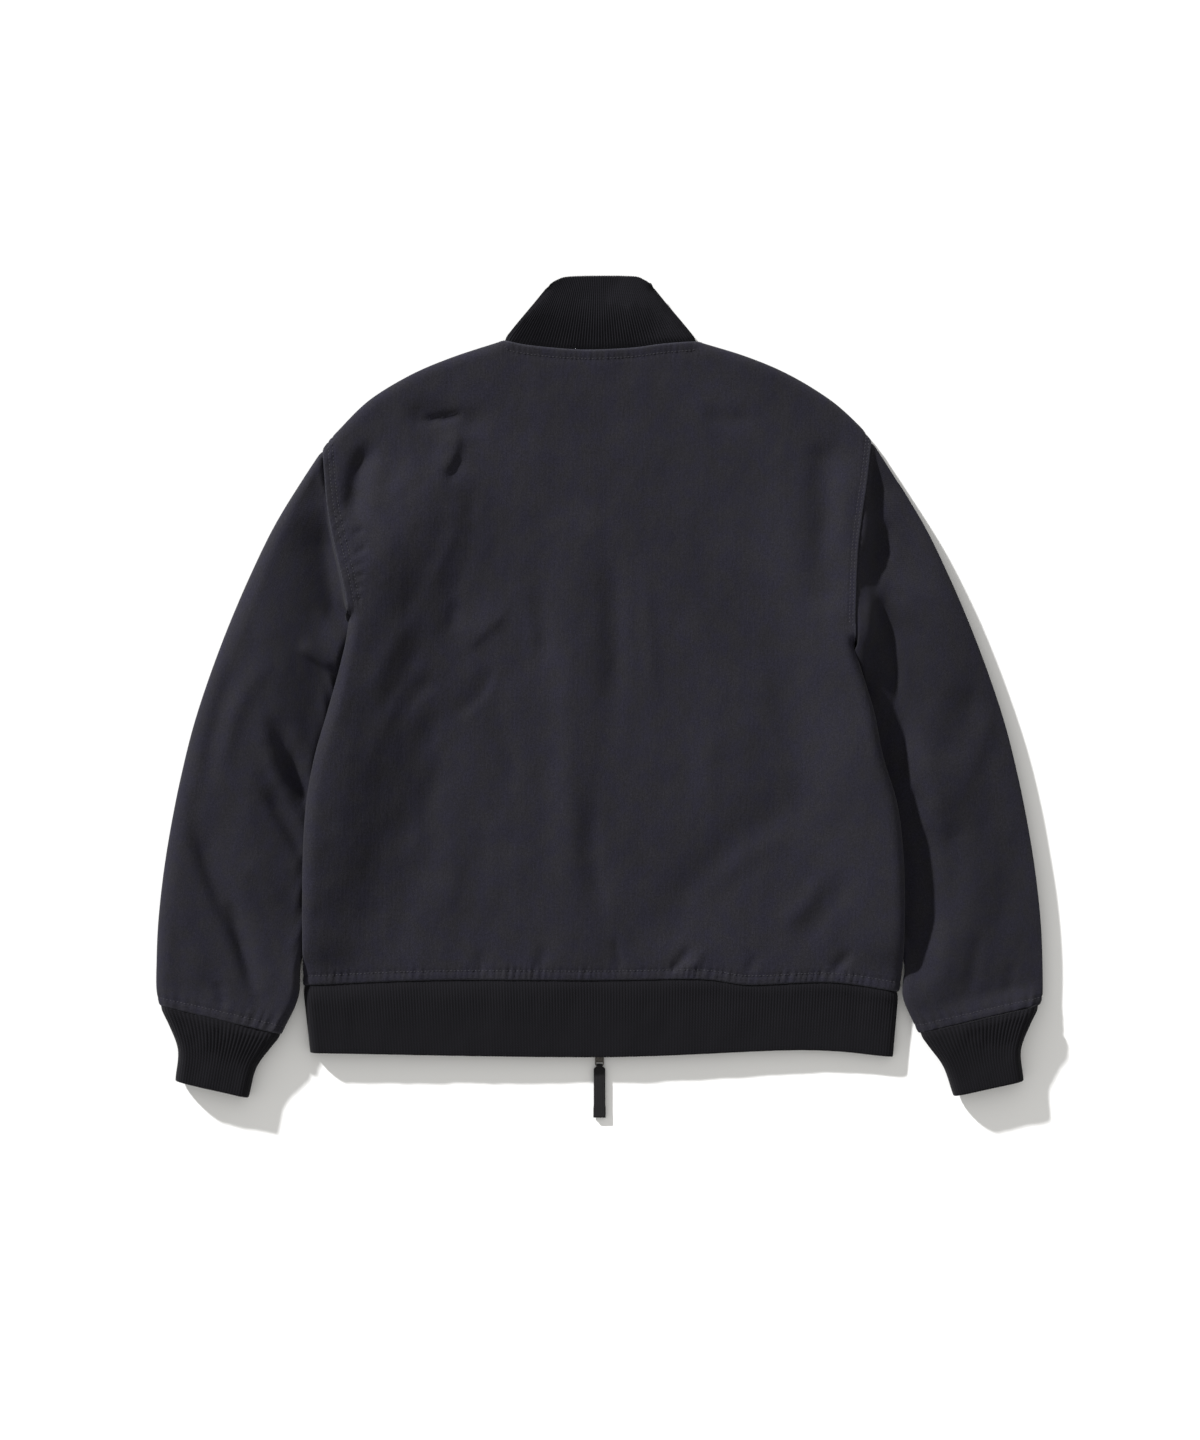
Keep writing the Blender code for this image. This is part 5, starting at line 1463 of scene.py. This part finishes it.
metal = zip_metal()
tooth_low, tooth_high = (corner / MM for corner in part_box("zip_chain"))
tooth_z = (tooth_low.z + tooth_high.z) / 2
tooth_count = int((tooth_high.y - tooth_low.y - 2) / TOOTH_PITCH)
bm = bmesh.new()
for side in (-1, 1):
    for k in range(tooth_count):
        y = tooth_low.y + 1.0 + TOOTH_PITCH * (k + (0.5 if side > 0 else 0.0))
        middle = Vector((side * (TOOTH[0] / 2 - TOOTH_REACH), y + TOOTH[1] / 2, tooth_z))
        size = Matrix.Diagonal((TOOTH[0], TOOTH[1], TOOTH[2], 1))
        bmesh.ops.create_cube(bm, size=1, matrix=Matrix.Scale(MM, 4) @ Matrix.Translation(middle) @ size)
bmesh.ops.bevel(bm, geom=bm.edges[:], offset=0.28 * MM, affect="EDGES", segments=1, profile=0.5, material=-1)
teeth_mesh = mesh_of(bm, "zip_teeth")
teeth_mesh.materials.append(metal)
teeth = add_object("zip_teeth", teeth_mesh)
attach(teeth, "jacket")
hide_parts("zip_chain")
for name in ("slider_lower", "slider_upper", "link_lower", "link_upper"):
    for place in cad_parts[name].material_slots:
        place.material = metal
print(2 * tooth_count, "teeth")

# %% [markdown]
# The link that joins a slider to its strap is a bent wire with a thin stamped plate across its
# middle. The wire is a part of the frame already. The plate is a bevelled block with a dished face,
# and it turns with the link.

# %% Plates of the links
PLATE = (7.0, 7.0, 0.8)
PLATE_FROM_PIVOT = 9.6
PLATE_DISH = 0.18
LINK_WIRE_OVER = 0.6  # the wire reaches this far past its pivot
plates = {}
for name in ("lower", "upper"):
    low_corner, high_corner = (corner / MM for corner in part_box("link_" + name))
    pivot_y = high_corner.y - LINK_WIRE_OVER
    middle = Vector((0, pivot_y - PLATE_FROM_PIVOT, (low_corner.z + high_corner.z) / 2))
    bm = bmesh.new()
    bmesh.ops.create_cube(bm, size=1, matrix=Matrix.Translation(middle) @ Matrix.Diagonal((*PLATE, 1)))
    bmesh.ops.bevel(bm, geom=bm.edges[:], offset=0.24, affect="EDGES", segments=2, profile=0.5, material=-1)
    faces = [face for face in bm.faces if abs(face.normal.z) > 0.99]
    bmesh.ops.inset_individual(bm, faces=faces, thickness=0.9, depth=-PLATE_DISH)
    bmesh.ops.scale(bm, vec=(MM, MM, MM), verts=bm.verts[:])
    bmesh.ops.recalc_face_normals(bm, faces=bm.faces[:])
    plate_mesh = mesh_of(bm, "link_plate_" + name)
    plate_mesh.materials.append(metal)
    plates[name] = add_object("link_plate_" + name, plate_mesh)
    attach(plates[name], name + "_pull")
print(len(plates), "plates")

# %% [markdown]
# ## The pull straps
# A strip of black tape is folded round the wire link and sewn to itself. It is narrow inside the link
# and swells to its full width below it. One grid follows the fold: up the front layer, round the bar
# and down the back layer.

# %% Fold the straps
STRAP_W = 11.0
STRAP_L = 51.2
STRAP_HALF = 1.6  # half the thickness of the folded strap
STRAP_LAYER = 1.3
LINK_L = 16.0  # from the pivot to the bar
PULL_Z = 2.5  # height of a pull's middle
NECK_W = 5.4  # width of the strap inside the link
PULLS = {"lower": -334.5, "upper": 324.0}  # Y of the pivots


def strap_material():
    made, shader = plain_material("black_pull_tape", (0.010, 0.0095, 0.0105), 0.78, 0.2)
    tree = made.node_tree
    height = maths(tree, "MULTIPLY", wave_of(tree, 300.0, "Y"), wave_of(tree, 190.0, "X"))
    fuzz = noise_of(tree, grain_places(tree, 500, 500))
    colour = mixed(tree, fuzz, (0.0070, 0.0066, 0.0075, 1), (0.0135, 0.0128, 0.0140, 1))
    tree.links.new(colour, shader.inputs["Base Color"])
    bumped(tree, shader, maths(tree, "ADD", height, fuzz), 0.00018)
    return made


pull_tape = strap_material()
for name, pivot in PULLS.items():
    bar_y = pivot - LINK_L
    arc = np.radians(np.linspace(180, 0, 13))
    down = np.concatenate([np.linspace(0, 4, 6)[:-1], np.linspace(4, STRAP_L - STRAP_HALF, 34)])
    top = np.column_stack([bar_y - down[::-1], np.full(len(down), STRAP_HALF)])
    loop = np.column_stack([bar_y + STRAP_HALF * np.sin(arc[::-1]), STRAP_HALF * np.cos(arc[::-1])])
    below = np.column_stack([bar_y - down, np.full(len(down), -STRAP_HALF)])
    path = np.vstack([top[:-1], loop, below[1:]])
    from_bar = np.maximum(bar_y - path[:, 0], 0)
    half_w = NECK_W / 2 + (STRAP_W - NECK_W) / 2 * np.sqrt(smooth((from_bar - 1.2) / 2.4))
    tail = smooth((from_bar - (STRAP_L - 14)) / 4)
    half_w = half_w + 0.35 * tail
    swell = 0.12 * np.sin(from_bar / 2.1) * smooth((15 - from_bar) / 3)
    u = np.linspace(-1, 1, 13)
    x = half_w[:, None] * u[None, :]
    y = np.broadcast_to(path[:, 0][:, None], x.shape)
    dish = (1 - u[None, :] ** 4) * 0.15 - 0.15
    side_of = np.sign(path[:, 1])[:, None] * np.minimum(np.abs(path[:, 1])[:, None] / STRAP_HALF, 1)
    z = PULL_Z + path[:, 1][:, None] + side_of * (dish + swell[:, None])
    grid = np.dstack([x, y, np.maximum(z, PULL_Z - STRAP_HALF)])
    v = lengths(path)
    uv = np.dstack(np.broadcast_arrays(x * MM, (v * MM)[:, None]))
    mesh = grid_mesh("pull_strap_" + name, grid, uv)
    outward = sum(face.normal.z * (face.center.z - PULL_Z * MM) * face.area for face in mesh.polygons)
    if outward < 0:  # a folded strip's faces point away from its middle, both above and below
        mesh.flip_normals()
    cloth_piece("pull_strap_" + name, mesh, pull_tape,
                               body=name + "_pull", thickness=STRAP_LAYER)
    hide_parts("strap_" + name)
print("straps", STRAP_L, "mm long")
